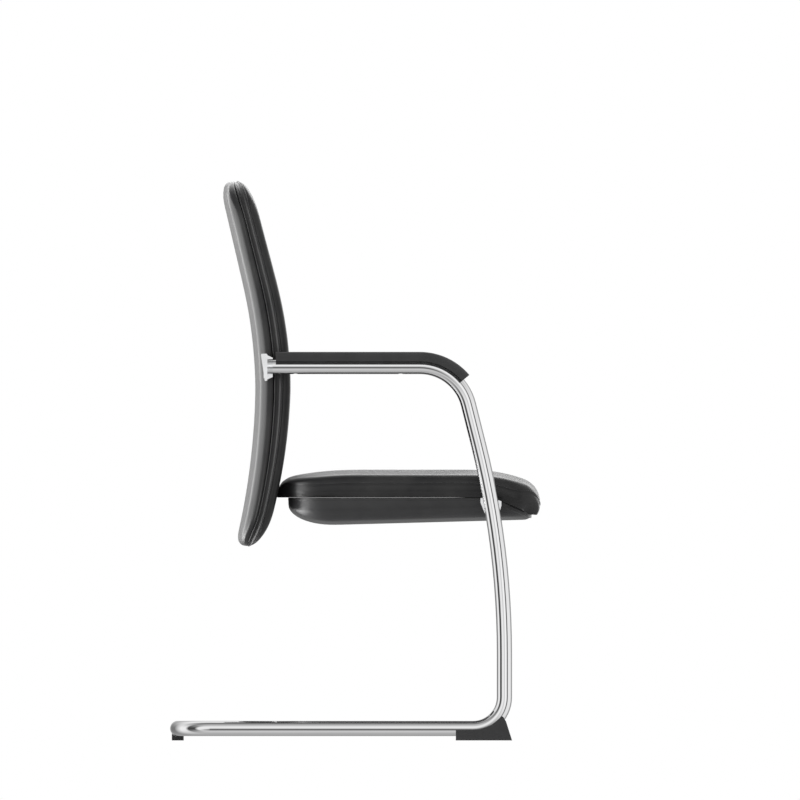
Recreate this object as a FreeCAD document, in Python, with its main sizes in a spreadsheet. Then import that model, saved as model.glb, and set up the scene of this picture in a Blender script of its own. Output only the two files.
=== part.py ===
import FreeCAD, Part
import math
import os
import Sketcher
from FreeCAD import Placement, Rotation, Vector

# An upholstered armchair on a bent-tube cantilever frame.
# Millimetres, +Z up, the front towards -Y, the sitter's left towards +X.
# The origin is on the floor, at the middle of the chair's length and width.

SIZES = [
    # Bent tube
    ("tube_diameter", 26.9, "outside diameter of the round tube"),
    ("tube_wall", 2.6, "wall of the round tube"),
    ("half_track", 265, "from the middle of the chair to each side's tube centre"),
    ("arm_height", 658.2, "height of the arm tube's centre"),
    ("arm_rear", 145, "rear end of the arm tube"),
    ("arm_bend_radius", 88, "centre-line radius of the bend from arm to leg"),
    ("leg_arc_top", 521, "height where the leg's long curve begins"),
    ("leg_arc_radius", 1514, "radius of the leg's long curve"),
    ("leg_arc_foot", 152, "height where the long curve has turned upright"),
    ("foot_reach", 262.8, "how far in front of the origin the upright foot stands"),
    ("floor_bend_radius", 55, "centre-line radius of the bend from leg to runner"),
    ("runner_height", 21.1, "height of the floor runner's centre"),
    ("rear_reach", 312.1, "how far behind the origin the rear cross tube lies"),
    ("rear_corner_radius", 56, "centre-line radius of the rear corners"),
    ("sleeve_length", 120, "length of the inner sleeve in the rear cross tube"),
    ("sleeve_wall", 2, "wall of the inner sleeve"),
    ("fit_clearance", 0.1, "gap all round between pieces that slide or clip together"),
    # Glides
    ("glide_width", 32.5, "width of the saddle glides across the tube"),
    ("glide_rear", 177.2, "rear end of the front glide, in front of the origin"),
    ("glide_toe", 13.5, "how far the front glide's toe stands out past the foot tube's centre"),
    ("glide_nose", 3, "how far its upper nose stands out past that centre"),
    ("glide_nose_height", 33.2, "height of the front glide's nose"),
    ("glide_tip", 2, "from the foot tube's centre back to the front glide's tip"),
    ("glide_tip_height", 41.3, "height of the front glide's tip"),
    ("glide_rise_upper", 8.5, "from the foot tube's centre back to the side wall's upper corner"),
    ("glide_wall_upper", 36.9, "height of the side wall there"),
    ("glide_rise_middle", 22, "from the foot tube's centre back to the side wall's middle corner"),
    ("glide_wall_middle", 26.5, "height of the side wall there"),
    ("glide_rise_lower", 43, "from the foot tube's centre back to the side wall's lower corner"),
    ("glide_wall_lower", 19.1, "height of the side wall there"),
    ("glide_wall_rear", 17.5, "height of the side wall at the front glide's rear end"),
    ("rear_glide_length", 21, "size of the rear glide along the chair"),
    ("rear_glide_width", 34, "size of the rear glide across the chair"),
    ("rear_glide_height", 12, "height of the rear glide's sides"),
    ("rear_glide_corner", 3, "corner radius of the rear glide, seen from above"),
    ("rear_glide_spread", 178, "from the middle of the chair to each rear glide"),
    ("glide_screw_diameter", 4, "shank of the glide screws"),
    ("glide_screw_setback", 12, "from the floor bend's end back to the front glide's screw"),
    ("glide_screw_seat", 3.4, "how far above the floor the glide screws' heads end"),
    ("glide_screw_bite", 2, "how far the glide screws reach into the tube's bore"),
    # Arm pads
    ("pad_width", 48, "width of the arm pad"),
    ("pad_rise", 25.7, "arm pad's top above the tube's centre"),
    ("pad_skirt", 9, "arm pad's lower edge above the tube's centre"),
    ("pad_rear", 139.6, "rear end of the arm pad"),
    ("pad_wrap", 50, "how many degrees of the bend the arm pad follows"),
    ("pad_round", 7, "radius of the arm pad's long upper edges"),
    ("pad_screw_rear", 105, "rear screw of the arm pad"),
    ("pad_screw_front", -80, "front screw of the arm pad"),
    ("pad_screw_diameter", 5, "shank of the arm pad screws"),
    ("pad_screw_bite", 6, "how far the arm pad screws reach into the pad"),
    # Back brackets
    ("collar_length", 9.5, "bracket's round collar behind the tube's end"),
    ("spigot_length", 30, "bracket's plug inside the tube"),
    ("flange_height", 48, "height of the bracket's flange"),
    ("flange_drop", 1.5, "how far the flange's middle lies below the tube's centre"),
    ("flange_top", 11.5, "thickness of the flange at its top"),
    ("flange_foot", 4.5, "thickness of the flange at its foot"),
    ("flange_round", 2.2, "rounding of the flange's edges"),
    ("web_height", 34, "height of the web beside the collar"),
    ("web_overlap", 1, "how far the web runs into the flange"),
    ("tongue_length", 42, "how far the bracket reaches into the back"),
    ("tongue_height", 38, "height of the part that reaches into the back"),
    ("tongue_thickness", 6.5, "thickness of the part that reaches into the back"),
    ("bracket_gap", 2.5, "from the back's side to the flange"),
    ("back_screw_diameter", 6, "shank of the screws through the bracket"),
    ("back_screw_pitch", 22, "height between a bracket's two screws"),
    ("back_screw_inset", 30, "from the back's side to the bracket's screws"),
    # Back
    ("back_top", 983.2, "height of the back's top edge"),
    ("back_bottom", 342.6, "height of the back's bottom edge"),
    ("back_half_width", 232, "half of the back's width at its waist"),
    ("back_narrowing", 9, "how much narrower each side is at the top and bottom"),
    ("back_rear", 176.4, "rear face of the back where it stands upright"),
    ("back_upper_start", 610, "height where the back begins to curve rearwards, going up"),
    ("back_upper_radius", 860, "radius of that upper curve"),
    ("back_upper_lean", 13.1, "degrees that the back's straight top leans"),
    ("back_lower_start", 633, "height where the back begins to curve rearwards, going down"),
    ("back_lower_radius", 1200, "radius of that lower curve"),
    ("back_thickness", 65.3, "the back's thickness over all at its middle"),
    ("back_top_thinning", 9.5, "how much thinner the back is at its top"),
    ("back_bottom_thinning", 13.2, "how much thinner the back is at its bottom"),
    ("back_crown", 10, "how far the rear face bulges across the width"),
    ("back_hollow", 13, "how far the front face is hollowed across the width"),
    ("back_joint_share", 0.42, "share of the thickness behind the joint between the paddings"),
    ("back_top_corner", 75, "corner radius of the back's top, seen from the front"),
    ("back_bottom_corner", 62, "corner radius of the back's bottom, seen from the front"),
    ("back_top_rear_reach", 40, "height over which the rear face rounds into the top"),
    ("back_top_rear_inset", 21, "how far the rear face draws in there"),
    ("back_top_front_reach", 50, "height over which the front face rounds into the top"),
    ("back_top_front_inset", 20.5, "how far the front face draws in there"),
    ("back_bottom_rear_reach", 25, "height over which the rear face rounds into the bottom"),
    ("back_bottom_rear_inset", 19, "how far the rear face draws in there"),
    ("back_bottom_front_reach", 60, "height over which the front face rounds into the bottom"),
    ("back_bottom_front_inset", 27, "how far the front face draws in there"),
    ("back_side_edge", 12, "rounding of the faces into the back's sides"),
    ("back_edge_limit", 0.8, "most of a padding's depth that this rounding may take"),
    ("shell_thickness", 10, "thickness of the back's moulded shell"),
    ("shell_margin", 16, "from the back's side to the moulded shell's edge"),
    ("shell_end_margin", 26, "from the back's top and bottom edges to the moulded shell"),
    ("soft_gap", 0.4, "gap between padded pieces and what they meet"),
    ("stud_diameter", 7, "shank of the rear panel's push studs"),
    ("stud_head", 18, "head of the rear panel's push studs"),
    ("stud_head_height", 2.1, "height of the push studs' heads"),
    ("stud_spread", 140, "from the middle of the back to its push studs"),
    ("stud_low", 105, "from the back's bottom edge up to the lower studs"),
    ("stud_high", 130, "from the back's top edge down to the upper studs"),
    # Seat
    ("seat_crest", 477.8, "height of the seat's top"),
    ("seat_base", 427.6, "height of the seat cushion's underside"),
    ("seat_front", 325.6, "the seat's front edge, in front of the origin"),
    ("seat_rear", 137.5, "the seat cushion's rear edge"),
    ("seat_half_width", 240, "half of the seat cushion's width"),
    ("seat_rear_narrowing", 12, "how much narrower each side is at the rear"),
    ("seat_crown", 9, "how far the seat's top bulges across the width"),
    ("seat_fall_start", 205, "where the waterfall front begins, in front of the origin"),
    ("seat_fall_radius", 270, "radius of the waterfall front"),
    ("seat_nose_height", 418, "height of the seat's foremost point"),
    ("seat_nose_upper", 49.6, "radius of the seat's nose above that point"),
    ("seat_nose_lower", 27, "radius of the seat's nose below that point"),
    ("seat_rear_radius", 560, "radius of the seat top's fall to the rear"),
    ("seat_rear_roll", 32, "length of the rounded rear end"),
    ("seat_rear_height", 39, "height of the rounded rear end"),
    ("seat_ramp_start", 243.7, "where the underside begins to slope down, in front of the origin"),
    ("seat_ramp_slope", 0.415, "fall of the sloping underside for each unit of length"),
    ("seat_front_corner", 58, "corner radius of the seat's front, seen from above"),
    ("seat_rear_corner", 80, "corner radius of the seat's rear, seen from above"),
    ("seat_shoulder", 20, "rounding of the seat's sides into its top"),
    ("seat_waist", 3, "how far the seat's sides are drawn in at their foot"),
    ("seat_side_fullness", 0.2, "share of the waist that is left half-way up the sides"),
    ("seat_crown_limit", 0.2, "most of the cushion's height that its crown may take"),
    ("seat_shoulder_limit", 0.4, "most of its height that the shoulders may take"),
    ("seat_waist_limit", 0.1, "most of its height that the waist may take"),
    # Tray under the seat
    ("tray_half_width", 226, "half of the tray's width"),
    ("tray_rear", 117.4, "the tray's rear edge"),
    ("tray_front", 310.3, "the tray's front edge, in front of the origin"),
    ("tray_depth_rear", 37, "depth of the tray below the seat board, at the rear"),
    ("tray_slope", 0.0271, "rise of the tray's floor towards the front"),
    ("tray_rear_roll", 77.6, "length of the tray's rounded rear end"),
    ("tray_rear_rise", 36, "height of the tray's rounded rear end"),
    ("tray_front_roll", 12.5, "length of the tray's rounded front end"),
    ("tray_front_rise", 11, "height of the tray's rounded front end"),
    ("tray_crown", 7, "how far the tray's floor bulges down across the width"),
    ("tray_edge", 24, "rounding of the tray's sides into its floor"),
    ("tray_wall", 3, "wall of the tray"),
    ("tray_corner", 60, "corner radius of the tray, seen from above"),
    ("tray_edge_limit", 0.55, "most of the tray's height that its rounding may take"),
    ("tray_crown_limit", 0.3, "most of the tray's height that its crown may take"),
    ("boss_diameter", 13, "screw bosses in the tray"),
    ("boss_spread", 160, "from the middle of the chair to the screw bosses"),
    ("boss_rear", 62, "rear screw bosses"),
    ("boss_front", -178, "front screw bosses"),
    ("boss_root", 1, "how far a boss runs into the tray's floor"),
    ("tray_screw_diameter", 4, "shank of the tray's screws"),
    # Seat structure
    ("board_thickness", 11, "plywood seat board"),
    ("board_margin", 8, "from the tray's edge to the board"),
    ("board_front", 240, "the board's front edge, in front of the origin"),
    ("board_corner", 12, "corner radius of the board's front"),
    ("beam_depth", 36, "size of the cross beam along the chair"),
    ("beam_height", 20, "height of the cross beam"),
    ("beam_wall", 2, "wall of the cross beam and rails"),
    ("beam_round", 4, "rounding of the beam's and rails' long edges"),
    ("rail_spread", 112, "from the middle of the chair to each rail"),
    ("rail_width", 26, "width of each rail"),
    ("rail_height", 15, "height of each rail"),
    ("rail_rear", 88, "rear end of the rails"),
    ("seat_screw_diameter", 6, "shank of the seat screws"),
    ("seat_screw_front", -170, "front seat screws"),
    ("seat_screw_rear", 60, "rear seat screws"),
    # Seat brackets
    ("lug_bottom", 398.6, "height of the seat bracket's lower edge"),
    ("lug_rear", 220.7, "the bracket's rear edge at its top, in front of the origin"),
    ("lug_front", 257.5, "the bracket's front edge at its top, in front of the origin"),
    ("lug_rear_shoulder", 8, "height of the bracket's upright rear edge"),
    ("lug_front_shoulder", 13, "depth of the bracket's upright front edge below the seat"),
    ("lug_rear_taper", 8, "how much the rear edge draws in at the bracket's foot"),
    ("lug_front_taper", 4, "how much the front edge draws in at the bracket's foot"),
    ("lug_round", 4, "rounding of the bracket's lower corners"),
    ("lug_gap", 1, "gap between the bracket and the cushion above it"),
    ("lug_grip", 11, "how far the bracket reaches round the tube from its inner side"),
    ("lug_inner", 26, "from the tray's side inwards to the bracket's inner end"),
    ("lug_core_width", 24, "size along the chair of the bracket's part inside the tray"),
    ("lug_core_height", 14, "height of the bracket's part inside the tray"),
    ("notch_gap", 0.6, "gap between the bracket and the tray's notch"),
    ("notch_depth", 12, "how far the tray's notch reaches inwards from its side"),
    # Fasteners
    ("head_height", 3.2, "height of the machine screws' heads"),
    ("small_head_height", 2.2, "height of the small screws' heads"),
    ("nut_flange_size", 17, "size of the nuts' square flanges"),
    ("nut_flange_height", 1.5, "thickness of the nuts' flanges"),
    ("nut_barrel_diameter", 8.6, "outside of the nuts' barrels"),
    ("nut_length", 7, "length of the seat nuts over all"),
    ("screw_tip_gap", 1, "from a screw's tip to the end of the nut or hole that holds it"),
]

doc = FreeCAD.newDocument("cantilever_chair")
dims = doc.addObject("Spreadsheet::Sheet", "Dims")
for row, (alias, size, meaning) in enumerate(SIZES, start=1):
    dims.set(f"A{row}", alias)
    dims.set(f"B{row}", str(size))
    dims.set(f"C{row}", meaning)
    dims.setAlias(f"B{row}", alias)
doc.recompute()

UP = Vector(0, 0, 1)
SIDES = {"left": 1, "right": -1}
# Sections that shape each padded or moulded piece: at an end, and between the ends
BACK_SECTIONS = (7, 7)
SHELL_END_SECTIONS = 4
SEAT_SECTIONS = (7, 5)
TRAY_SECTIONS = (6, 4)
nodes = []

# Places that several pieces share, as expressions on the sheet
TUBE_RADIUS = "Dims.tube_diameter / 2"
BORE_RADIUS = "(Dims.tube_diameter / 2 - Dims.tube_wall)"
LEG_LEAN = "asin((Dims.leg_arc_top - Dims.leg_arc_foot) / Dims.leg_arc_radius)"
LEG_TOP = f"(Dims.leg_arc_radius * (1 - cos({LEG_LEAN})) - Dims.foot_reach)"
LUG_HEIGHT = "(Dims.seat_base - Dims.lug_bottom)"
LUG_MIDDLE = "((Dims.seat_base + Dims.lug_bottom) / 2)"
LEAN_AT_LUG = f"asin(({LUG_MIDDLE} - Dims.leg_arc_foot) / Dims.leg_arc_radius)"
LEG_AT_LUG = f"(Dims.leg_arc_radius * (1 - cos({LEAN_AT_LUG})) - Dims.foot_reach)"
ARM_BEND_START = (
    f"({LEG_TOP} + (Dims.arm_height - Dims.leg_arc_top) * tan({LEG_LEAN})"
    f" + Dims.arm_bend_radius * tan(45 deg - {LEG_LEAN} / 2))"
)
FLANGE_FRONT = "(Dims.arm_rear + Dims.collar_length)"
FLANGE_INNER = "(Dims.back_half_width + Dims.bracket_gap)"
BACK_SCREW_PLACE = "(Dims.back_half_width - Dims.back_screw_inset)"
BOARD_TOP = "(Dims.seat_base - Dims.soft_gap)"
BOARD_BOTTOM = f"({BOARD_TOP} - Dims.board_thickness)"
FRONT_SCREW_PLACE = "(Dims.floor_bend_radius + Dims.glide_screw_setback - Dims.foot_reach)"
SET_SCREW_PLACE = "(Dims.arm_rear - Dims.spigot_length / 2)"
BEAM_MIDDLE = "(-(Dims.lug_front + Dims.lug_rear) / 2)"
BEAM_END = "(Dims.tray_half_width - Dims.lug_inner)"
NUT_BARREL_ROOM = "(Dims.nut_barrel_diameter / 2 + Dims.fit_clearance)"


def value(expression):
    """The number that an expression on the sheet comes to."""
    result = dims.evalExpression(expression)
    return getattr(result, "Value", result)


def signed(expression, side):
    """The expression on the left side of the chair, or its mirror on the right."""
    return expression if side > 0 else f"-({expression})"


# Sketches and features

def new_body(label):
    body = doc.addObject("PartDesign::Body", label)
    body.Label = label
    nodes.append(body)
    return body


def origin_plane(body, role):
    return next(plane for plane in body.Origin.OriginFeatures if plane.Role == role)


def sketch_on(body, role, offset="0"):
    """An empty sketch on one of the body's origin planes, moved along its normal."""
    sketch = body.newObject("Sketcher::SketchObject", "Sketch")
    sketch.AttachmentSupport = [(origin_plane(body, role), "")]
    sketch.MapMode = "FlatFace"
    sketch.setExpression("AttachmentOffset.Base.z", offset)
    return sketch


def datum(sketch, kind, references, expression):
    """A dimension that follows the sheet."""
    index = sketch.addConstraint(Sketcher.Constraint(kind, *references, value(expression)))
    sketch.setExpression(f"Constraints[{index}]", expression)


def fix_point(sketch, geometry, point, across, along):
    """Fixes a point by its distances from the origin, or on the axis where the second is nought."""
    datum(sketch, "DistanceX", (-1, 1, geometry, point), across)
    if along == "0":
        sketch.addConstraint(Sketcher.Constraint("PointOnObject", geometry, point, -1))
    else:
        datum(sketch, "DistanceY", (-1, 1, geometry, point), along)


def join_tangent(sketch, chain):
    for first, second in zip(chain, chain[1:]):
        sketch.addConstraint(Sketcher.Constraint("Tangent", first, 2, second, 1))


def add_circle(sketch, across, along, radius):
    centre = Vector(value(across), value(along), 0)
    circle = sketch.addGeometry(Part.Circle(centre, UP, value(radius)))
    datum(sketch, "Radius", (circle,), radius)
    fix_point(sketch, circle, 3, across, along)


def add_line(sketch, start, end):
    return sketch.addGeometry(Part.LineSegment(Vector(*start, 0), Vector(*end, 0)))


def add_arc(sketch, centre, radius, start_degrees, end_degrees):
    circle = Part.Circle(Vector(*centre, 0), UP, radius)
    start, end = math.radians(start_degrees), math.radians(end_degrees)
    return sketch.addGeometry(Part.ArcOfCircle(circle, start, end))


def add_polygon(sketch, corners):
    """A closed outline of straight lines through corners given as expressions."""
    points = [(value(across), value(along)) for across, along in corners]
    lines = [add_line(sketch, a, b) for a, b in zip(points, points[1:] + points[:1])]
    for first, second in zip(lines, lines[1:] + lines[:1]):
        sketch.addConstraint(Sketcher.Constraint("Coincident", first, 2, second, 1))
    for line, (across, along) in zip(lines, corners):
        fix_point(sketch, line, 1, across, along)


def add_rounded_rectangle(sketch, low, high, radius_low, radius_high):
    """A rectangle between two corners, with one radius below and one above."""
    x_low, y_low = (value(expression) for expression in low)
    x_high, y_high = (value(expression) for expression in high)
    r_low, r_high = value(radius_low), value(radius_high)
    bottom = add_line(sketch, (x_low + r_low, y_low), (x_high - r_low, y_low))
    corner_a = add_arc(sketch, (x_high - r_low, y_low + r_low), r_low, 270, 360)
    right = add_line(sketch, (x_high, y_low + r_low), (x_high, y_high - r_high))
    corner_b = add_arc(sketch, (x_high - r_high, y_high - r_high), r_high, 0, 90)
    top = add_line(sketch, (x_high - r_high, y_high), (x_low + r_high, y_high))
    corner_c = add_arc(sketch, (x_low + r_high, y_high - r_high), r_high, 90, 180)
    left = add_line(sketch, (x_low, y_high - r_high), (x_low, y_low + r_low))
    corner_d = add_arc(sketch, (x_low + r_low, y_low + r_low), r_low, 180, 270)
    join_tangent(sketch, [bottom, corner_a, right, corner_b, top, corner_c, left, corner_d, bottom])
    for line in (bottom, top):
        sketch.addConstraint(Sketcher.Constraint("Horizontal", line))
    for line in (left, right):
        sketch.addConstraint(Sketcher.Constraint("Vertical", line))
    for corner, radius in (
        (corner_a, radius_low), (corner_b, radius_high),
        (corner_c, radius_high), (corner_d, radius_low),
    ):
        datum(sketch, "Radius", (corner,), radius)
    datum(sketch, "DistanceX", (-1, 1, left, 1), low[0])
    datum(sketch, "DistanceX", (-1, 1, right, 1), high[0])
    datum(sketch, "DistanceY", (-1, 1, bottom, 1), low[1])
    datum(sketch, "DistanceY", (-1, 1, top, 1), high[1])


def pad(body, sketch, length, reverse=False):
    feature = body.newObject("PartDesign::Pad", "Pad")
    feature.Profile = sketch
    feature.setExpression("Length", length)
    feature.Reversed = reverse
    doc.recompute()
    return feature


def cut_by(body, feature_type, sketch, **settings):
    """A pocket or a swept cut that has to take something away."""
    before = body.Shape.Volume
    feature = body.newObject(feature_type, feature_type.split("::")[1])
    feature.Profile = sketch
    for name, setting in settings.items():
        if name == "Length":
            feature.setExpression(name, setting)
        else:
            setattr(feature, name, setting)
    doc.recompute()
    if not body.Shape.Volume < before:
        raise RuntimeError(f"{body.Label}: {feature.Label} removes nothing")
    return feature


def sweep(body, section, path):
    feature = body.newObject("PartDesign::AdditivePipe", "Sweep")
    feature.Profile = section
    feature.Spine = (path, [])
    doc.recompute()
    return feature


def edges_where(shape, test):
    return [f"Edge{i}" for i, edge in enumerate(shape.Edges, start=1) if test(edge)]


def round_edges(body, radius, test):
    """Rounds the edges that pass a test."""
    base = body.Tip
    names = edges_where(base.Shape, test)
    if not names:
        raise RuntimeError(f"{body.Label}: no edge to round")
    fillet = body.newObject("PartDesign::Fillet", "Rounding")
    fillet.Base = (base, names)
    fillet.setExpression("Radius", radius)
    doc.recompute()
    return fillet


def runs_along(edge, axis):
    """True for a straight edge parallel to an axis."""
    if not isinstance(edge.Curve, Part.Line):
        return False
    return abs(edge.Curve.Direction.dot(axis)) > 0.999


# Bent tube frame

def add_side_path(sketch):
    """Centre line of one side: arm, bend, leaning leg, long curve, floor bend and runner."""
    lean = value(LEG_LEAN)
    leg_top = (value(LEG_TOP), dims.leg_arc_top)
    bend_centre = (value(ARM_BEND_START), dims.arm_height - dims.arm_bend_radius)
    bend_end_angle = math.radians(180 - lean)
    bend_end = (
        bend_centre[0] + dims.arm_bend_radius * math.cos(bend_end_angle),
        bend_centre[1] + dims.arm_bend_radius * math.sin(bend_end_angle),
    )
    foot = -dims.foot_reach
    floor_bend_top = dims.runner_height + dims.floor_bend_radius
    runner_start = foot + dims.floor_bend_radius
    runner_end = dims.rear_reach - dims.rear_corner_radius
    arm = add_line(sketch, (dims.arm_rear, dims.arm_height), (bend_centre[0], dims.arm_height))
    arm_bend = add_arc(sketch, bend_centre, dims.arm_bend_radius, 90, 180 - lean)
    leg = add_line(sketch, bend_end, leg_top)
    leg_arc = add_arc(
        sketch, (foot + dims.leg_arc_radius, dims.leg_arc_foot), dims.leg_arc_radius, 180 - lean, 180
    )
    shin = add_line(sketch, (foot, dims.leg_arc_foot), (foot, floor_bend_top))
    floor_bend = add_arc(
        sketch, (runner_start, floor_bend_top), dims.floor_bend_radius, 180, 270
    )
    runner = add_line(sketch, (runner_start, dims.runner_height), (runner_end, dims.runner_height))
    join_tangent(sketch, [arm, arm_bend, leg, leg_arc, shin, floor_bend, runner])
    for line in (arm, runner):
        sketch.addConstraint(Sketcher.Constraint("Horizontal", line))
    sketch.addConstraint(Sketcher.Constraint("Vertical", shin))
    fix_point(sketch, arm, 1, "Dims.arm_rear", "Dims.arm_height")
    fix_point(sketch, shin, 1, "-Dims.foot_reach", "Dims.leg_arc_foot")
    fix_point(sketch, runner, 2, "Dims.rear_reach - Dims.rear_corner_radius", "Dims.runner_height")
    datum(sketch, "DistanceY", (-1, 1, leg_arc, 1), "Dims.leg_arc_top")
    datum(sketch, "Radius", (arm_bend,), "Dims.arm_bend_radius")
    datum(sketch, "Radius", (leg_arc,), "Dims.leg_arc_radius")
    datum(sketch, "Radius", (floor_bend,), "Dims.floor_bend_radius")


def add_corner_path(sketch, side):
    """Centre line of a rear corner and its half of the cross tube, in plan."""
    radius = dims.rear_corner_radius
    centre = (side * (dims.half_track - radius), dims.rear_reach - radius)
    middle = (0, dims.rear_reach)
    crossing = (centre[0], dims.rear_reach)
    half_track = signed("Dims.half_track", side)
    corner_start = "Dims.rear_reach - Dims.rear_corner_radius"
    if side > 0:
        corner = add_arc(sketch, centre, radius, 0, 90)
        cross = add_line(sketch, crossing, middle)
        join_tangent(sketch, [corner, cross])
        free_end, middle_end = (corner, 1), (cross, 2)
    else:
        cross = add_line(sketch, middle, crossing)
        corner = add_arc(sketch, centre, radius, 90, 180)
        join_tangent(sketch, [cross, corner])
        free_end, middle_end = (corner, 2), (cross, 1)
    sketch.addConstraint(Sketcher.Constraint("Horizontal", cross))
    sketch.addConstraint(Sketcher.Constraint("PointOnObject", *middle_end, -2))
    fix_point(sketch, *free_end, half_track, corner_start)
    datum(sketch, "Radius", (corner,), "Dims.rear_corner_radius")


def add_ring(sketch, across, along):
    add_circle(sketch, across, along, TUBE_RADIUS)
    add_circle(sketch, across, along, BORE_RADIUS)


def frame_half(name, side):
    """One half of the frame: a hollow tube from the arm's rear end to the middle of the back."""
    body = new_body(f"frame_{name}")
    track = signed("Dims.half_track", side)
    side_path = sketch_on(body, "YZ_Plane", track)
    add_side_path(side_path)
    arm_section = sketch_on(body, "XZ_Plane", "-Dims.arm_rear")
    add_ring(arm_section, track, "Dims.arm_height")
    doc.recompute()
    sweep(body, arm_section, side_path)

    corner_path = sketch_on(body, "XY_Plane", "Dims.runner_height")
    add_corner_path(corner_path, side)
    corner_section = sketch_on(body, "XZ_Plane", "Dims.rear_corner_radius - Dims.rear_reach")
    add_ring(corner_section, track, "Dims.runner_height")
    doc.recompute()
    sweep(body, corner_section, corner_path)

    drill_arm_tube(body, track)
    drill_for_glides(body, side, track)
    drill_for_set_screw(body, side)
    return body


def drill_arm_tube(body, track):
    """Small holes in the tube's upper wall, and wider ones below that the heads pass through."""
    shanks = sketch_on(body, "XY_Plane", "Dims.arm_height")
    heads = sketch_on(body, "XY_Plane", "Dims.arm_height")
    for place in ("Dims.pad_screw_rear", "Dims.pad_screw_front"):
        add_circle(shanks, track, place, "Dims.pad_screw_diameter / 2 + Dims.fit_clearance")
        add_circle(heads, track, place, "Dims.pad_screw_diameter")
    cut_by(body, "PartDesign::Pocket", shanks, Length="Dims.tube_diameter", Reversed=True)
    cut_by(body, "PartDesign::Pocket", heads, Length="Dims.tube_diameter")


def drill_for_glides(body, side, track):
    """Holes in the underside for the front and rear glide screws."""
    holes = sketch_on(body, "XY_Plane", "Dims.runner_height")
    radius = "Dims.glide_screw_diameter / 2 + Dims.fit_clearance"
    add_circle(holes, track, FRONT_SCREW_PLACE, radius)
    add_circle(holes, signed("Dims.rear_glide_spread", side), "Dims.rear_reach", radius)
    cut_by(body, "PartDesign::Pocket", holes, Length="Dims.tube_diameter")


def drill_for_set_screw(body, side):
    """A hole in the arm tube's inner side for the screw that locks the bracket."""
    hole = sketch_on(body, "YZ_Plane", signed("Dims.half_track", side))
    radius = "Dims.pad_screw_diameter / 2 + Dims.fit_clearance"
    add_circle(hole, SET_SCREW_PLACE, "Dims.arm_height", radius)
    cut_by(body, "PartDesign::Pocket", hole, Length="Dims.tube_diameter", Reversed=side < 0)


def joint_sleeve():
    """The inner sleeve that holds the two halves in line."""
    body = new_body("frame_joint_sleeve")
    section = sketch_on(body, "YZ_Plane", "-Dims.sleeve_length / 2")
    outside = f"{BORE_RADIUS} - Dims.fit_clearance"
    add_circle(section, "Dims.rear_reach", "Dims.runner_height", outside)
    inside = f"{BORE_RADIUS} - Dims.fit_clearance - Dims.sleeve_wall"
    add_circle(section, "Dims.rear_reach", "Dims.runner_height", inside)
    pad(body, section, "Dims.sleeve_length")


# Glides

def add_floor_bend_path(sketch):
    """Centre line of the tube where the front glide clips on."""
    foot = -dims.foot_reach
    radius = dims.floor_bend_radius
    bend_top = dims.runner_height + radius
    shin = add_line(sketch, (foot, bend_top + radius), (foot, bend_top))
    bend = add_arc(sketch, (foot + radius, bend_top), radius, 180, 270)
    runner_end = foot + 3 * radius
    runner = add_line(sketch, (foot + radius, dims.runner_height), (runner_end, dims.runner_height))
    join_tangent(sketch, [shin, bend, runner])
    sketch.addConstraint(Sketcher.Constraint("Vertical", shin))
    sketch.addConstraint(Sketcher.Constraint("Horizontal", runner))
    top = "Dims.runner_height + 2 * Dims.floor_bend_radius"
    fix_point(sketch, shin, 1, "-Dims.foot_reach", top)
    end = "3 * Dims.floor_bend_radius - Dims.foot_reach"
    fix_point(sketch, runner, 2, end, "Dims.runner_height")
    datum(sketch, "Radius", (bend,), "Dims.floor_bend_radius")


def front_glide(name, side):
    """A saddle that grips the outside of the floor bend and stands on a flat sole."""
    body = new_body(f"front_glide_{name}")
    outer_face = f"{signed('Dims.half_track', side)} - Dims.glide_width / 2"
    outline = sketch_on(body, "YZ_Plane", outer_face)
    add_polygon(outline, [
        ("-Dims.glide_rear", "0"),
        ("-Dims.glide_rear", "Dims.glide_wall_rear"),
        ("Dims.glide_rise_lower - Dims.foot_reach", "Dims.glide_wall_lower"),
        ("Dims.glide_rise_middle - Dims.foot_reach", "Dims.glide_wall_middle"),
        ("Dims.glide_rise_upper - Dims.foot_reach", "Dims.glide_wall_upper"),
        ("Dims.glide_tip - Dims.foot_reach", "Dims.glide_tip_height"),
        ("-Dims.foot_reach - Dims.glide_nose", "Dims.glide_nose_height"),
        ("-Dims.foot_reach - Dims.glide_toe", "0"),
    ])
    pad(body, outline, "Dims.glide_width")
    path = sketch_on(body, "YZ_Plane", signed("Dims.half_track", side))
    add_floor_bend_path(path)
    bore = sketch_on(body, "XY_Plane", "Dims.runner_height + 2 * Dims.floor_bend_radius")
    add_circle(
        bore, signed("Dims.half_track", side), "-Dims.foot_reach",
        f"{TUBE_RADIUS} + Dims.fit_clearance",
    )
    doc.recompute()
    cut_by(body, "PartDesign::SubtractivePipe", bore, Spine=(path, []))
    drill_sole(body, signed("Dims.half_track", side), FRONT_SCREW_PLACE)
    return body


def rear_glide(name, side):
    """A block with a hollow top that the rear cross tube lies in."""
    body = new_body(f"rear_glide_{name}")
    place = signed("Dims.rear_glide_spread", side)
    sole = sketch_on(body, "XY_Plane", "0")
    add_rounded_rectangle(
        sole,
        (f"{place} - Dims.rear_glide_width / 2", "Dims.rear_reach - Dims.rear_glide_length / 2"),
        (f"{place} + Dims.rear_glide_width / 2", "Dims.rear_reach + Dims.rear_glide_length / 2"),
        "Dims.rear_glide_corner", "Dims.rear_glide_corner",
    )
    pad(body, sole, "Dims.rear_glide_height")
    bore = sketch_on(body, "YZ_Plane", f"{place} - Dims.rear_glide_width")
    bore_radius = f"{TUBE_RADIUS} + Dims.fit_clearance"
    add_circle(bore, "Dims.rear_reach", "Dims.runner_height", bore_radius)
    cut_by(body, "PartDesign::Pocket", bore, Length="2 * Dims.rear_glide_width", Reversed=True)
    drill_sole(body, place, "Dims.rear_reach")
    return body


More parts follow.
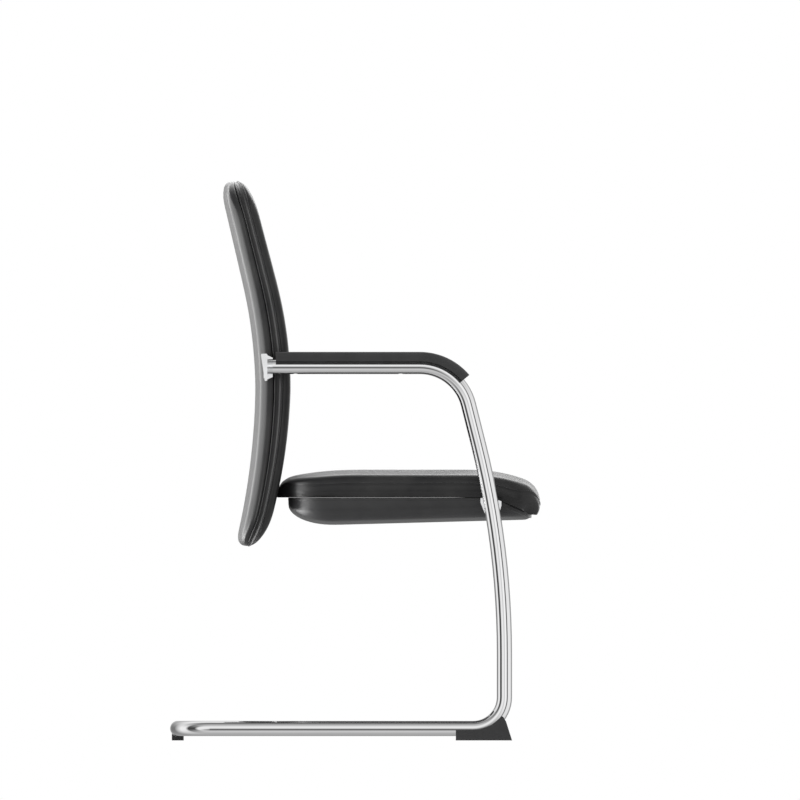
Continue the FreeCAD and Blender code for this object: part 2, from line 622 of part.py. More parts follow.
def drill_sole(body, across, along):
    """A stepped hole for a screw whose head lies inside the sole."""
    head = sketch_on(body, "XY_Plane", "0")
    add_circle(head, across, along, "Dims.glide_screw_diameter + Dims.fit_clearance")
    cut_by(body, "PartDesign::Pocket", head, Length="Dims.glide_screw_seat", Reversed=True)
    shank = sketch_on(body, "XY_Plane", "0")
    add_circle(shank, across, along, "Dims.glide_screw_diameter / 2 + Dims.fit_clearance")
    cut_by(body, "PartDesign::Pocket", shank, Length="Dims.runner_height", Reversed=True)


# Arm pads

def add_pad_path(sketch):
    """Centre line of the tube under the arm pad."""
    start = value(ARM_BEND_START)
    radius = dims.arm_bend_radius
    arm = add_line(sketch, (dims.pad_rear, dims.arm_height), (start, dims.arm_height))
    bend = add_arc(sketch, (start, dims.arm_height - radius), radius, 90, 90 + dims.pad_wrap)
    join_tangent(sketch, [arm, bend])
    sketch.addConstraint(Sketcher.Constraint("Horizontal", arm))
    fix_point(sketch, arm, 1, "Dims.pad_rear", "Dims.arm_height")
    datum(sketch, "DistanceX", (-1, 1, arm, 2), ARM_BEND_START)
    datum(sketch, "Radius", (bend,), "Dims.arm_bend_radius")
    end = f"{ARM_BEND_START} - Dims.arm_bend_radius * sin(Dims.pad_wrap * 1 deg)"
    datum(sketch, "DistanceX", (-1, 1, bend, 2), end)


def add_domed_section(sketch, track):
    """The arm pad's section: a flat foot, upright sides and two rounded upper edges."""
    middle, half, radius = value(track), dims.pad_width / 2, dims.pad_round
    low, high = dims.arm_height + dims.pad_skirt, dims.arm_height + dims.pad_rise
    right_x, left_x = middle + half, middle - half
    foot = add_line(sketch, (left_x, low), (right_x, low))
    right = add_line(sketch, (right_x, low), (right_x, high - radius))
    right_corner = add_arc(sketch, (right_x - radius, high - radius), radius, 0, 90)
    top = add_line(sketch, (right_x - radius, high), (left_x + radius, high))
    left_corner = add_arc(sketch, (left_x + radius, high - radius), radius, 90, 180)
    left = add_line(sketch, (left_x, high - radius), (left_x, low))
    join_tangent(sketch, [right, right_corner, top, left_corner, left])
    sketch.addConstraint(Sketcher.Constraint("Coincident", foot, 2, right, 1))
    sketch.addConstraint(Sketcher.Constraint("Coincident", left, 2, foot, 1))
    for line in (foot, top):
        sketch.addConstraint(Sketcher.Constraint("Horizontal", line))
    for line in (right, left):
        sketch.addConstraint(Sketcher.Constraint("Vertical", line))
    for corner in (right_corner, left_corner):
        datum(sketch, "Radius", (corner,), "Dims.pad_round")
    fix_point(sketch, foot, 1, f"{track} - Dims.pad_width / 2", "Dims.arm_height + Dims.pad_skirt")
    fix_point(sketch, top, 1, f"{track} + Dims.pad_width / 2 - Dims.pad_round",
              "Dims.arm_height + Dims.pad_rise")


def armpad(name, side):
    """A moulded pad that sits on the arm tube and follows its bend."""
    body = new_body(f"armpad_{name}")
    track = signed("Dims.half_track", side)
    path = sketch_on(body, "YZ_Plane", track)
    add_pad_path(path)
    section = sketch_on(body, "XZ_Plane", "-Dims.pad_rear")
    add_domed_section(section, track)
    doc.recompute()
    sweep(body, section, path)
    groove = sketch_on(body, "XZ_Plane", "-Dims.pad_rear")
    add_circle(groove, track, "Dims.arm_height", f"{TUBE_RADIUS} + Dims.fit_clearance")
    doc.recompute()
    cut_by(body, "PartDesign::SubtractivePipe", groove, Spine=(path, []))
    holes = sketch_on(body, "XY_Plane", "Dims.arm_height")
    for place in ("Dims.pad_screw_rear", "Dims.pad_screw_front"):
        add_circle(holes, track, place, "Dims.pad_screw_diameter / 2 + Dims.fit_clearance")
    depth = f"{TUBE_RADIUS} + Dims.pad_screw_bite"
    cut_by(body, "PartDesign::Pocket", holes, Length=depth, Reversed=True)
    return body


# Castings that hold the back

def back_bracket(name, side):
    """Plug, collar, web and wedge flange, with a tongue that reaches into the back."""
    body = new_body(f"back_bracket_{name}")
    track = signed("Dims.half_track", side)
    inner = signed(FLANGE_INNER, side)
    middle = "(Dims.arm_height - Dims.flange_drop)"

    collar = sketch_on(body, "XZ_Plane", "-Dims.arm_rear")
    add_circle(collar, track, "Dims.arm_height", TUBE_RADIUS)
    pad(body, collar, "Dims.collar_length", reverse=True)
    spigot = sketch_on(body, "XZ_Plane", "-Dims.arm_rear")
    add_circle(spigot, track, "Dims.arm_height", f"{BORE_RADIUS} - Dims.fit_clearance")
    pad(body, spigot, "Dims.spigot_length")

    flange = sketch_on(body, "YZ_Plane", inner)
    top = f"{middle} + Dims.flange_height / 2"
    foot = f"{middle} - Dims.flange_height / 2"
    add_polygon(flange, [
        (FLANGE_FRONT, foot),
        (f"{FLANGE_FRONT} + Dims.flange_foot", foot),
        (f"{FLANGE_FRONT} + Dims.flange_top", top),
        (FLANGE_FRONT, top),
    ])
    reach = f"Dims.half_track + {TUBE_RADIUS} - {FLANGE_INNER}"
    pad(body, flange, reach, reverse=side < 0)
    round_edges(body, "Dims.flange_round", is_flange_edge)

    web = sketch_on(body, "YZ_Plane", inner)
    add_polygon(web, [
        ("Dims.arm_rear + Dims.fit_clearance", f"{middle} - Dims.web_height / 2"),
        (f"{FLANGE_FRONT} + Dims.web_overlap", f"{foot} + Dims.flange_round"),
        (f"{FLANGE_FRONT} + Dims.web_overlap", f"{top} - Dims.flange_round"),
        ("Dims.arm_rear + Dims.fit_clearance", f"{middle} + Dims.web_height / 2"),
    ])
    pad(body, web, f"Dims.half_track - {FLANGE_INNER}", reverse=side < 0)

    tongue = sketch_on(body, "YZ_Plane", inner)
    add_polygon(tongue, [
        (FLANGE_FRONT, f"{middle} - Dims.tongue_height / 2"),
        (f"{FLANGE_FRONT} + Dims.tongue_thickness", f"{middle} - Dims.tongue_height / 2"),
        (f"{FLANGE_FRONT} + Dims.tongue_thickness", f"{middle} + Dims.tongue_height / 2"),
        (FLANGE_FRONT, f"{middle} + Dims.tongue_height / 2"),
    ])
    pad(body, tongue, "Dims.tongue_length", reverse=side > 0)

    holes = sketch_on(body, "XZ_Plane", f"Dims.tongue_thickness - {FLANGE_FRONT}")
    radius = "Dims.back_screw_diameter / 2 + Dims.fit_clearance"
    for offset in ("Dims.back_screw_pitch / 2", "-Dims.back_screw_pitch / 2"):
        add_circle(holes, signed(BACK_SCREW_PLACE, side), f"{middle} + {offset}", radius)
    cut_by(body, "PartDesign::Pocket", holes, Length="3 * Dims.tongue_thickness")
    seat = sketch_on(body, "YZ_Plane", track)
    seat_radius = "Dims.pad_screw_diameter / 2 + Dims.fit_clearance"
    add_circle(seat, SET_SCREW_PLACE, "Dims.arm_height", seat_radius)
    cut_by(body, "PartDesign::Pocket", seat, Length=TUBE_RADIUS, Reversed=side < 0)
    return body


def is_flange_edge(edge):
    """True for the flange's four long edges, which run across the chair."""
    if not runs_along(edge, Vector(1, 0, 0)):
        return False
    height = edge.CenterOfMass.z - dims.arm_height
    return abs(height) > dims.flange_height / 2 - dims.flange_drop - dims.fit_clearance


# Outlines of padded and moulded pieces

def straight(start, end):
    return Part.LineSegment(start, end).toShape()


def curved(start, middle, end):
    return Part.Arc(start, middle, end).toShape()


def loft(sections):
    """A closed solid, ruled from each section to the next."""
    return Part.makeLoft(sections, True, True)


def rounding(distance, reach, inset):
    """How far an elliptical edge has drawn in, at a distance from the end it closes."""
    if distance >= reach:
        return 0
    return inset * (1 - math.sqrt(1 - (1 - distance / reach) ** 2))


def end_steps(reach, count):
    """Distances of sections from an end, closest together at the end itself."""
    return [reach * ((i + 0.5) / count) ** 2 for i in range(count)]


def spaced(low, high, reach, counts, extra=()):
    """Places of sections: drawn together towards both ends, even between, and any others."""
    end_count, middle_count = counts
    near = end_steps(reach, end_count)
    start, finish = low + reach, high - reach
    even = [start + (finish - start) * i / middle_count for i in range(middle_count + 1)]
    return sorted([low + step for step in near] + even + [high - step for step in near] + list(extra))


def soft_corner(start, end, bulge):
    """A corner between two points, rounded through a point given by its direction."""
    middle = (start + end) / 2 + bulge * (start.distanceToPoint(end) * (math.sqrt(2) - 1) / 2)
    return curved(start, middle, end)


# The back's form, as heights and faces

def back_rear_line(height):
    """Y of the rear face on the chair's centre line."""
    y = dims.back_rear
    above = height - dims.back_upper_start
    lean = math.radians(dims.back_upper_lean)
    curve_end = dims.back_upper_radius * math.sin(lean)
    if above > curve_end:
        y += dims.back_upper_radius * (1 - math.cos(lean)) + (above - curve_end) * math.tan(lean)
    elif above > 0:
        y += dims.back_upper_radius - math.sqrt(dims.back_upper_radius ** 2 - above ** 2)
    below = dims.back_lower_start - height
    if below > 0:
        y += dims.back_lower_radius - math.sqrt(dims.back_lower_radius ** 2 - below ** 2)
    return y


def back_place(height):
    """Signed share of the way from the back's middle to its top (1) or bottom (-1)."""
    middle = (dims.back_top + dims.back_bottom) / 2
    return (height - middle) / (dims.back_top - middle)


def back_depth(height):
    """The back's thickness at its sides, before its edges are rounded."""
    place = back_place(height)
    thinning = dims.back_top_thinning if place > 0 else dims.back_bottom_thinning
    return dims.back_thickness - thinning * place * place


def back_end(height):
    """The name of the nearer end, and the distance to it."""
    if height > (dims.back_top + dims.back_bottom) / 2:
        return "top", dims.back_top - height
    return "bottom", height - dims.back_bottom


def back_edge(face, height):
    """How far the rear or front face has drawn in towards the nearer end."""
    end, distance = back_end(height)
    reach = getattr(dims, f"back_{end}_{face}_reach")
    return rounding(distance, reach, getattr(dims, f"back_{end}_{face}_inset"))


def back_half_width(height, margin=0.0):
    end, distance = back_end(height)
    corner = getattr(dims, f"back_{end}_corner") - margin
    full = dims.back_half_width - dims.back_narrowing * back_place(height) ** 2
    return full - margin - rounding(max(distance - margin, 0), corner, corner)


def back_faces(across, height):
    """Y of the rear and front faces at a point of the back."""
    share = (across / dims.back_half_width) ** 2
    rear = back_rear_line(height)
    hollow = dims.back_hollow * (1 - back_place(height) ** 2) * (1 - share)
    front = rear - back_depth(height) + hollow + back_edge("front", height)
    rear -= dims.back_crown * share + back_edge("rear", height)
    return rear, front


def back_joint(across, height):
    """Y of the surface where the front cushion meets the shell and the rear panel."""
    rear, front = back_faces(across, height)
    return rear - dims.back_joint_share * (rear - front)


def back_heights():
    """Heights of the back's sections."""
    return spaced(dims.back_bottom, dims.back_top, dims.back_top_corner, BACK_SECTIONS)


def shell_heights(margin):
    """Heights of the shell's sections: the back's own, and closer ones at the shell's ends."""
    low, high = dims.back_bottom + margin, dims.back_top - margin
    reach = dims.back_top_corner - margin
    near = end_steps(reach, SHELL_END_SECTIONS)
    shared = [z for z in back_heights() if low + reach < z < high - reach]
    return [low + step for step in near] + shared + [high - step for step in reversed(near)]


def padded_section(height, face, inner, outward):
    """Closed outline at one height: a rounded outer face over a plain inner one."""
    width = back_half_width(height)
    side_inner, side_outer = inner(width, height), face(width, height)
    corner = min(dims.back_side_edge, dims.back_edge_limit * abs(side_outer - side_inner))
    outer_x = width - corner

    def at(x, y):
        return Vector(x, y, height)

    left_inner, right_inner = at(-width, side_inner), at(width, side_inner)
    left_side = at(-width, side_outer - outward * corner)
    right_side = at(width, side_outer - outward * corner)
    left_outer = at(-outer_x, face(outer_x, height))
    right_outer = at(outer_x, face(outer_x, height))
    bulge = Vector(1, outward, 0).normalize()
    mirrored = Vector(-1, outward, 0).normalize()
    return Part.Wire([
        straight(left_inner, left_side),
        soft_corner(left_side, left_outer, mirrored),
        curved(left_outer, at(0, face(0, height)), right_outer),
        soft_corner(right_outer, right_side, bulge),
        straight(right_side, right_inner),
        curved(right_inner, at(0, inner(0, height)), left_inner),
    ])


def shell_section(height, margin, front_offset, rear_offset):
    """Closed outline of the moulded shell at one height."""
    width = back_half_width(height, margin)

    def at(x, offset):
        return Vector(x, back_joint(x, height) + offset, height)

    return Part.Wire([
        straight(at(-width, front_offset), at(-width, rear_offset)),
        curved(at(-width, rear_offset), at(0, rear_offset), at(width, rear_offset)),
        straight(at(width, rear_offset), at(width, front_offset)),
        curved(at(width, front_offset), at(0, front_offset), at(-width, front_offset)),
    ])


def shell_solid(clearance, front_offset):
    """The moulded shell, or the room that it needs with a clearance all round."""
    heights = shell_heights(dims.shell_end_margin - clearance)
    margin = dims.shell_margin - clearance
    rear_offset = dims.shell_thickness + clearance
    return loft([shell_section(z, margin, front_offset, rear_offset) for z in heights])


def back_fixings():
    """Side, X and height of each screw through a bracket's tongue."""
    middle = dims.arm_height - dims.flange_drop
    half_pitch = dims.back_screw_pitch / 2
    place = value(BACK_SCREW_PLACE)
    heights = (middle - half_pitch, middle + half_pitch)
    return [(side * place, height) for side in SIDES.values() for height in heights]


def cylinder_along_y(x, z, y_start, y_end, radius):
    return Part.makeCylinder(radius, y_end - y_start, Vector(x, y_start, z), Vector(0, 1, 0))


def tongue_room(side, clearance):
    """The space that a bracket's tongue takes up, with a clearance."""
    front = value(FLANGE_FRONT) - clearance
    inner = value(FLANGE_INNER) - dims.tongue_length - clearance
    length = dims.tongue_length + dims.bracket_gap + clearance
    height = dims.tongue_height + 2 * clearance
    x = inner if side > 0 else -inner - length
    z = dims.arm_height - dims.flange_drop - height / 2
    return Part.makeBox(length, dims.tongue_thickness + 2 * clearance, height, Vector(x, front, z))


def stud_places():
    heights = (dims.back_bottom + dims.stud_low, dims.back_top - dims.stud_high)
    return [(side * dims.stud_spread, z) for side in SIDES.values() for z in heights]


def lofted_joint(across, height):
    """Y of the joint as it is made, straight from one section to the next."""
    heights = back_heights()
    below = max(z for z in heights if z <= height)
    above = min(z for z in heights if z > height)
    share = (height - below) / (above - below)
    return (1 - share) * back_joint(across, below) + share * back_joint(across, above)


def rearmost_joint(x, z, reach):
    """Y of the joint's rearmost point within a reach of a place on the back."""
    heights = [height for height in back_heights() if abs(height - z) < reach]
    heights += [z - reach, z + reach]
    return max(lofted_joint(abs(x) - reach, height) for height in heights)


def stud_head_front(x, z):
    """Y where a push stud's head begins, clear of the shell's curved rear face."""
    joint = rearmost_joint(x, z, dims.stud_head / 2)
    return joint + dims.shell_thickness + 2 * dims.fit_clearance


def nut_front(x, z):
    """Y of a back nut's flange, sunk below the shell's curved front face."""
    return rearmost_joint(x, z, dims.nut_flange_size / 2) + 2 * dims.fit_clearance


def add_node(label, shape):
    """A piece whose form is worked out above."""
    feature = doc.addObject("Part::Feature", label)
    feature.Label = label
    feature.Shape = shape
    feature.Placement = Placement(Vector(0, 0, 0), Rotation())
    nodes.append(feature)
    return feature


def back_shell():
    """Moulded shell with seats for the brackets' tongues and holes for nuts and studs."""
    shell = shell_solid(0, 0)
    depth = dims.shell_thickness
    for side in SIDES.values():
        shell = shell.cut(tongue_room(side, dims.fit_clearance))
    for x, z in back_fixings():
        front = nut_front(x, z)
        room = dims.nut_flange_size + 2 * dims.fit_clearance
        corner = Vector(x - room / 2, front - depth, z - room / 2)
        flange_seat = Part.makeBox(room, depth + dims.nut_flange_height, room, corner)
        barrel_hole = cylinder_along_y(x, z, front, front + 2 * depth, value(NUT_BARREL_ROOM))
        shell = shell.cut(flange_seat).cut(barrel_hole)
    for x, z in stud_places():
        hole_radius = dims.stud_diameter / 2 + dims.fit_clearance
        joint = back_joint(x, z)
        shell = shell.cut(cylinder_along_y(x, z, joint - depth, joint + 2 * depth, hole_radius))
    return add_node("back_shell", shell)


def back_rear_panel():
    """Padded rear panel: a tray whose rim wraps the shell's edge."""
    def face(across, height):
        return back_faces(across, height)[0]

    panel = loft([padded_section(z, face, back_joint, 1) for z in back_heights()])
    panel = panel.cut(shell_solid(dims.soft_gap, -dims.shell_thickness))
    head_rear = value(FLANGE_FRONT) + dims.tongue_thickness + dims.head_height + dims.soft_gap
    for side in SIDES.values():
        panel = panel.cut(tongue_room(side, dims.soft_gap))
    for x, z in back_fixings():
        room = dims.back_screw_diameter + dims.soft_gap
        panel = panel.cut(cylinder_along_y(x, z, value(FLANGE_FRONT), head_rear, room))
    for x, z in stud_places():
        front = stud_head_front(x, z)
        rear = front + dims.stud_head_height + dims.fit_clearance
        room = dims.stud_head / 2 + dims.fit_clearance
        panel = panel.cut(cylinder_along_y(x, z, front - dims.shell_thickness, rear, room))
    return add_node("back_rear_panel", panel)


def back_cushion():
    """Padded front of the back, hollowed across the width."""
    def face(across, height):
        return back_faces(across, height)[1]

    def joint(across, height):
        return back_joint(across, height) - dims.soft_gap

    return add_node("back_cushion", loft([
        padded_section(z, face, joint, -1) for z in back_heights()
    ]))


# The seat's form

def seat_top_line(y):
    """Height of the cushion's top on the centre line."""
    z = dims.seat_crest
    fall = -dims.seat_fall_start - y
    if fall > 0:
        z = dims.seat_crest - dims.seat_fall_radius
        z += math.sqrt(dims.seat_fall_radius ** 2 - fall ** 2)
        nose = y + dims.seat_front - dims.seat_nose_upper
        if nose < 0:
            arc = math.sqrt(max(dims.seat_nose_upper ** 2 - nose ** 2, 0))
            z = min(z, dims.seat_nose_height + arc)
    if y > 0:
        z -= dims.seat_rear_radius - math.sqrt(dims.seat_rear_radius ** 2 - y ** 2)
    roll = y - dims.seat_rear + dims.seat_rear_roll
    if roll > 0:
        share = min(roll / dims.seat_rear_roll, 1)
        z = min(z, dims.seat_base + dims.seat_rear_height * math.sqrt(1 - share ** 2))
    return z


def seat_bottom_line(y):
    """Height of the cushion's underside."""
    z = dims.seat_base - dims.seat_ramp_slope * max(-dims.seat_ramp_start - y, 0)
    nose = y + dims.seat_front - dims.seat_nose_lower
    if nose < 0:
        arc = math.sqrt(max(dims.seat_nose_lower ** 2 - nose ** 2, 0))
        z = max(z, dims.seat_nose_height - arc)
    return z


def seat_width(y):
    """Half of the cushion's width, with its corners rounded in plan."""
    length = dims.seat_front + dims.seat_rear
    from_front, from_rear = y + dims.seat_front, dims.seat_rear - y
    width = dims.seat_half_width - dims.seat_rear_narrowing * from_front / length
    width -= rounding(from_front, dims.seat_front_corner, dims.seat_front_corner)
    return width - rounding(from_rear, dims.seat_rear_corner, dims.seat_rear_corner)


def seat_section(y):
    """Closed outline across the cushion: flat below, drawn-in sides and a crowned top."""
    width = seat_width(y)
    bottom, top = seat_bottom_line(y), seat_top_line(y)
    height = top - bottom
    crown = min(dims.seat_crown, dims.seat_crown_limit * height) * width / dims.seat_half_width
    shoulder = min(dims.seat_shoulder, dims.seat_shoulder_limit * height)
    foot = width - min(dims.seat_waist, dims.seat_waist_limit * height)
    waist = width - dims.seat_side_fullness * (width - foot)
    edge = top - crown

    def at(x, z):
        return Vector(x, y, z)

    def side(sign):
        low, high = at(sign * foot, bottom), at(sign * width, edge - shoulder)
        middle = at(sign * waist, (bottom + edge - shoulder) / 2)
        return low, middle, high

    right_low, right_middle, right_high = side(1)
    left_low, left_middle, left_high = side(-1)
    inner = width - shoulder
    shoulder_z = edge + crown * (1 - (inner / width) ** 2)
    right_top, left_top = at(inner, shoulder_z), at(-inner, shoulder_z)
    return Part.Wire([
        straight(left_low, right_low),
        curved(right_low, right_middle, right_high),
        soft_corner(right_high, right_top, Vector(1, 0, 1).normalize()),
        curved(right_top, at(0, top), left_top),
        soft_corner(left_top, left_high, Vector(-1, 0, 1).normalize()),
        curved(left_high, left_middle, left_low),
    ])


def seat_cushion():
    """Padded seat with a waterfall front and a sloping underside there."""
    reach, bend = dims.seat_rear_corner, -dims.seat_ramp_start
    places = spaced(-dims.seat_front, dims.seat_rear, reach, SEAT_SECTIONS, extra=(bend,))
    return add_node("seat_cushion", loft([seat_section(y) for y in places]))


# Tray under the seat

def tray_floor(y, wall):
    """Height of the tray's floor on the centre line."""
    rear_start = dims.tray_rear - dims.tray_rear_roll
    lowest = value(BOARD_BOTTOM) - dims.tray_depth_rear + wall
    z = lowest + dims.tray_slope * max(rear_start - y, 0)
    rear_length = dims.tray_rear_roll - wall
    past = min(max((y - rear_start) / rear_length, 0), 1)
    z += (dims.tray_rear_rise - wall) * (1 - math.sqrt(1 - past ** 2))
    front_length = dims.tray_front_roll - wall
    past = min(max((dims.tray_front_roll - dims.tray_front - y) / front_length, 0), 1)
    return z + (dims.tray_front_rise - wall) * (1 - math.sqrt(1 - past ** 2))


def tray_width(y, wall):
    front = y + dims.tray_front - wall
    rear = dims.tray_rear - wall - y
    corner = dims.tray_corner - wall
    width = dims.tray_half_width - wall
    for distance in (front, rear):
        width -= rounding(max(distance, 0), corner, corner)
    return width


def tray_section(y, wall, rim_lift):
    """Closed outline across the tray, or across its inside when a wall is taken off."""
    width, low = tray_width(y, wall), tray_floor(y, wall)
    rim = seat_bottom_line(y) - dims.soft_gap
    height = rim - low
    edge = min(dims.tray_edge - wall, dims.tray_edge_limit * height)
    crown = min(dims.tray_crown, dims.tray_crown_limit * height)
    inner = width - edge
    corner_low = low + crown * (inner / dims.tray_half_width) ** 2

    def at(x, z):
        return Vector(x, y, z)

    top = rim + rim_lift
    side_foot = corner_low + edge
    right_rim, left_rim = at(width, top), at(-width, top)
    right_foot, left_foot = at(width, side_foot), at(-width, side_foot)
    right_low, left_low = at(inner, corner_low), at(-inner, corner_low)
    return Part.Wire([
        straight(left_rim, right_rim),
        straight(right_rim, right_foot),
        soft_corner(right_foot, right_low, Vector(1, 0, -1).normalize()),
        curved(right_low, at(0, low), left_low),
        soft_corner(left_low, left_foot, Vector(-1, 0, -1).normalize()),
        straight(left_foot, left_rim),
    ])


def tray_solid(wall, rim_lift):
    """The tray's outer form, or its inside when a wall is taken off."""
    front, rear, bend = wall - dims.tray_front, dims.tray_rear - wall, -dims.seat_ramp_start
    places = spaced(front, rear, dims.tray_corner, TRAY_SECTIONS, extra=(bend,))
    return loft([tray_section(y, wall, rim_lift) for y in places])


def boss_places():
    places = (dims.boss_front, dims.boss_rear)
    return [(side * dims.boss_spread, y) for side in SIDES.values() for y in places]


def boss_floor(x, y):
    """Height of the tray's outer floor at a screw boss."""
    return tray_floor(y, 0) + dims.tray_crown * (x / dims.tray_half_width) ** 2


def seat_lower_shell():
    """Open tray with screw bosses, notched where the seat brackets pass."""
    outer = tray_solid(0, 0)
    tray = outer.cut(tray_solid(dims.tray_wall, 2 * dims.tray_wall))
    board_bottom = value(BOARD_BOTTOM)
    for x, y in boss_places():
        floor = boss_floor(x, y)
        root = Vector(x, y, floor - dims.boss_root)
        height = board_bottom - dims.fit_clearance - root.z
        boss = Part.makeCylinder(dims.boss_diameter / 2, height, root)
        tray = tray.fuse(boss.common(outer))
        below = Vector(x, y, floor - dims.tray_wall)
        shank_radius = dims.tray_screw_diameter / 2 + dims.fit_clearance
        shank = Part.makeCylinder(shank_radius, 2 * dims.tray_depth_rear, below)
        head_radius = dims.tray_screw_diameter + dims.fit_clearance
        head = Part.makeCylinder(head_radius, dims.tray_wall + dims.head_height, below)
        tray = tray.cut(shank).cut(head)
    gap = dims.notch_gap
    length = dims.lug_core_width + 2 * gap
    foot = board_bottom - dims.lug_core_height - gap
    height = dims.seat_base - foot
    width = dims.notch_depth + dims.tray_wall
    for side in SIDES.values():
        inner = dims.tray_half_width - dims.notch_depth
        start = inner if side > 0 else -inner - width
        corner = Vector(start, value(BEAM_MIDDLE) - length / 2, foot)
        tray = tray.cut(Part.makeBox(width, length, height, corner))
    return add_node("seat_lower_shell", tray)


# Seat structure

def seat_board():
    """Plywood board with stepped holes for the nuts."""
    body = new_body("seat_board")
    outline = sketch_on(body, "XY_Plane", BOARD_BOTTOM)
    half_width = "(Dims.tray_half_width - Dims.board_margin)"
    add_rounded_rectangle(
        outline,
        (f"-{half_width}", "-Dims.board_front"),
        (half_width, "Dims.tray_rear - Dims.board_margin"),
        "Dims.board_corner", "Dims.tray_corner - Dims.board_margin",
    )
    pad(body, outline, "Dims.board_thickness")
    barrels = sketch_on(body, "XY_Plane", BOARD_BOTTOM)
    flanges = sketch_on(body, "XY_Plane", BOARD_TOP)
    room = "(Dims.nut_flange_size / 2 + Dims.fit_clearance)"
    for x, y in seat_screw_places():
        add_circle(barrels, x, y, NUT_BARREL_ROOM)
        add_polygon(flanges, [
            (f"{x} - {room}", f"{y} - {room}"),
            (f"{x} + {room}", f"{y} - {room}"),
            (f"{x} + {room}", f"{y} + {room}"),
            (f"{x} - {room}", f"{y} + {room}"),
        ])
    cut_by(body, "PartDesign::Pocket", barrels, Length="Dims.board_thickness", Reversed=True)
    cut_by(body, "PartDesign::Pocket", flanges, Length="Dims.nut_flange_height")
    return body


def seat_screw_places():
    """X and Y of each seat screw, as expressions."""
    return [
        (signed("Dims.rail_spread", side), y)
        for side in SIDES.values()
        for y in ("Dims.seat_screw_front", "Dims.seat_screw_rear")
    ]


def add_hollow_section(sketch, low, high):
    """A rounded rectangle and the hollow inside it."""
    wall, radius = "Dims.beam_wall", "Dims.beam_round"
    inner_radius = f"{radius} - {wall}"
    add_rounded_rectangle(sketch, low, high, radius, radius)
    inner_low = tuple(f"{expression} + {wall}" for expression in low)
    inner_high = tuple(f"{expression} - {wall}" for expression in high)
    add_rounded_rectangle(sketch, inner_low, inner_high, inner_radius, inner_radius)


def seat_beam():
    """Cross beam between the two seat brackets."""
    body = new_body("seat_beam")
    section = sketch_on(body, "YZ_Plane", f"-{BEAM_END}")
    add_hollow_section(
        section,
        (f"{BEAM_MIDDLE} - Dims.beam_depth / 2", f"{BOARD_BOTTOM} - Dims.beam_height"),
        (f"{BEAM_MIDDLE} + Dims.beam_depth / 2", BOARD_BOTTOM),
    )
    pad(body, section, f"2 * {BEAM_END}")
    return body


def seat_rail(name, side):
    """Hollow rail that carries the board rearwards from the beam."""
    body = new_body(f"seat_rail_{name}")
    place = signed("Dims.rail_spread", side)
    section = sketch_on(body, "XZ_Plane", "-Dims.rail_rear")
    add_hollow_section(
        section,
        (f"{place} - Dims.rail_width / 2", f"{BOARD_BOTTOM} - Dims.rail_height"),
        (f"{place} + Dims.rail_width / 2", BOARD_BOTTOM),
    )
    pad(body, section, f"Dims.rail_rear - {BEAM_MIDDLE} - Dims.beam_depth / 2")
    holes = sketch_on(body, "XY_Plane", BOARD_BOTTOM)
    radius = "Dims.seat_screw_diameter / 2 + Dims.fit_clearance"
    for y in ("Dims.seat_screw_front", "Dims.seat_screw_rear"):
        add_circle(holes, place, y, radius)
    cut_by(body, "PartDesign::Pocket", holes, Length="Dims.rail_height")
    return body


def seat_bracket(name, side):
    """Shield-shaped lug that grips the inside of the leg and carries the cross beam's end."""
    body = new_body(f"seat_bracket_{name}")
    outer = signed(f"(Dims.half_track - {TUBE_RADIUS} + Dims.lug_grip)", side)
    shield = sketch_on(body, "YZ_Plane", outer)
    top = "(Dims.seat_base - Dims.lug_gap)"
    add_polygon(shield, [
        ("-Dims.seat_ramp_start", top),
        ("-Dims.lug_front", f"{top} - Dims.seat_ramp_slope * (Dims.lug_front - Dims.seat_ramp_start)"),
        ("-Dims.lug_front", f"{top} - Dims.lug_front_shoulder"),
        ("Dims.lug_front_taper - Dims.lug_front", "Dims.lug_bottom"),
        ("-Dims.lug_rear - Dims.lug_rear_taper", "Dims.lug_bottom"),
        ("-Dims.lug_rear", f"{top} - Dims.lug_rear_shoulder"),
        ("-Dims.lug_rear", top),
    ])
    grip = f"Dims.half_track - {TUBE_RADIUS} + Dims.lug_grip"
    pad(body, shield, f"{grip} - Dims.tray_half_width - Dims.notch_gap", reverse=side > 0)
    round_edges(body, "Dims.lug_round", is_lug_corner)

    core = sketch_on(body, "YZ_Plane", signed(BEAM_END, side))
    add_polygon(core, [
        (f"{BEAM_MIDDLE} - Dims.lug_core_width / 2", f"{BOARD_BOTTOM} - Dims.lug_core_height"),
        (f"{BEAM_MIDDLE} + Dims.lug_core_width / 2", f"{BOARD_BOTTOM} - Dims.lug_core_height"),
        (f"{BEAM_MIDDLE} + Dims.lug_core_width / 2", f"{BOARD_BOTTOM} - Dims.fit_clearance"),
        (f"{BEAM_MIDDLE} - Dims.lug_core_width / 2", f"{BOARD_BOTTOM} - Dims.fit_clearance"),
    ])
    pad(body, core, "Dims.lug_inner + 2 * Dims.notch_gap", reverse=side < 0)

    groove = body.newObject("PartDesign::SubtractiveCylinder", "Groove")
    groove.AttachmentSupport = [(origin_plane(body, "XY_Plane"), "")]
    groove.MapMode = "FlatFace"
    groove.AttachmentOffset = Placement(Vector(0, 0, 0), Rotation(Vector(-1, 0, 0), 1))
    below = f"1.5 * {LUG_HEIGHT}"
    groove.setExpression("AttachmentOffset.Base.x", signed("Dims.half_track", side))
    groove.setExpression("AttachmentOffset.Base.y", f"{LEG_AT_LUG} - {below} * tan({LEAN_AT_LUG})")
    groove.setExpression("AttachmentOffset.Base.z", f"{LUG_MIDDLE} - {below}")
    groove.setExpression("AttachmentOffset.Rotation.Angle", LEAN_AT_LUG)
    groove.setExpression("Radius", f"{TUBE_RADIUS} + Dims.fit_clearance")
    groove.setExpression("Height", f"3 * {LUG_HEIGHT}")
    doc.recompute()
    return body


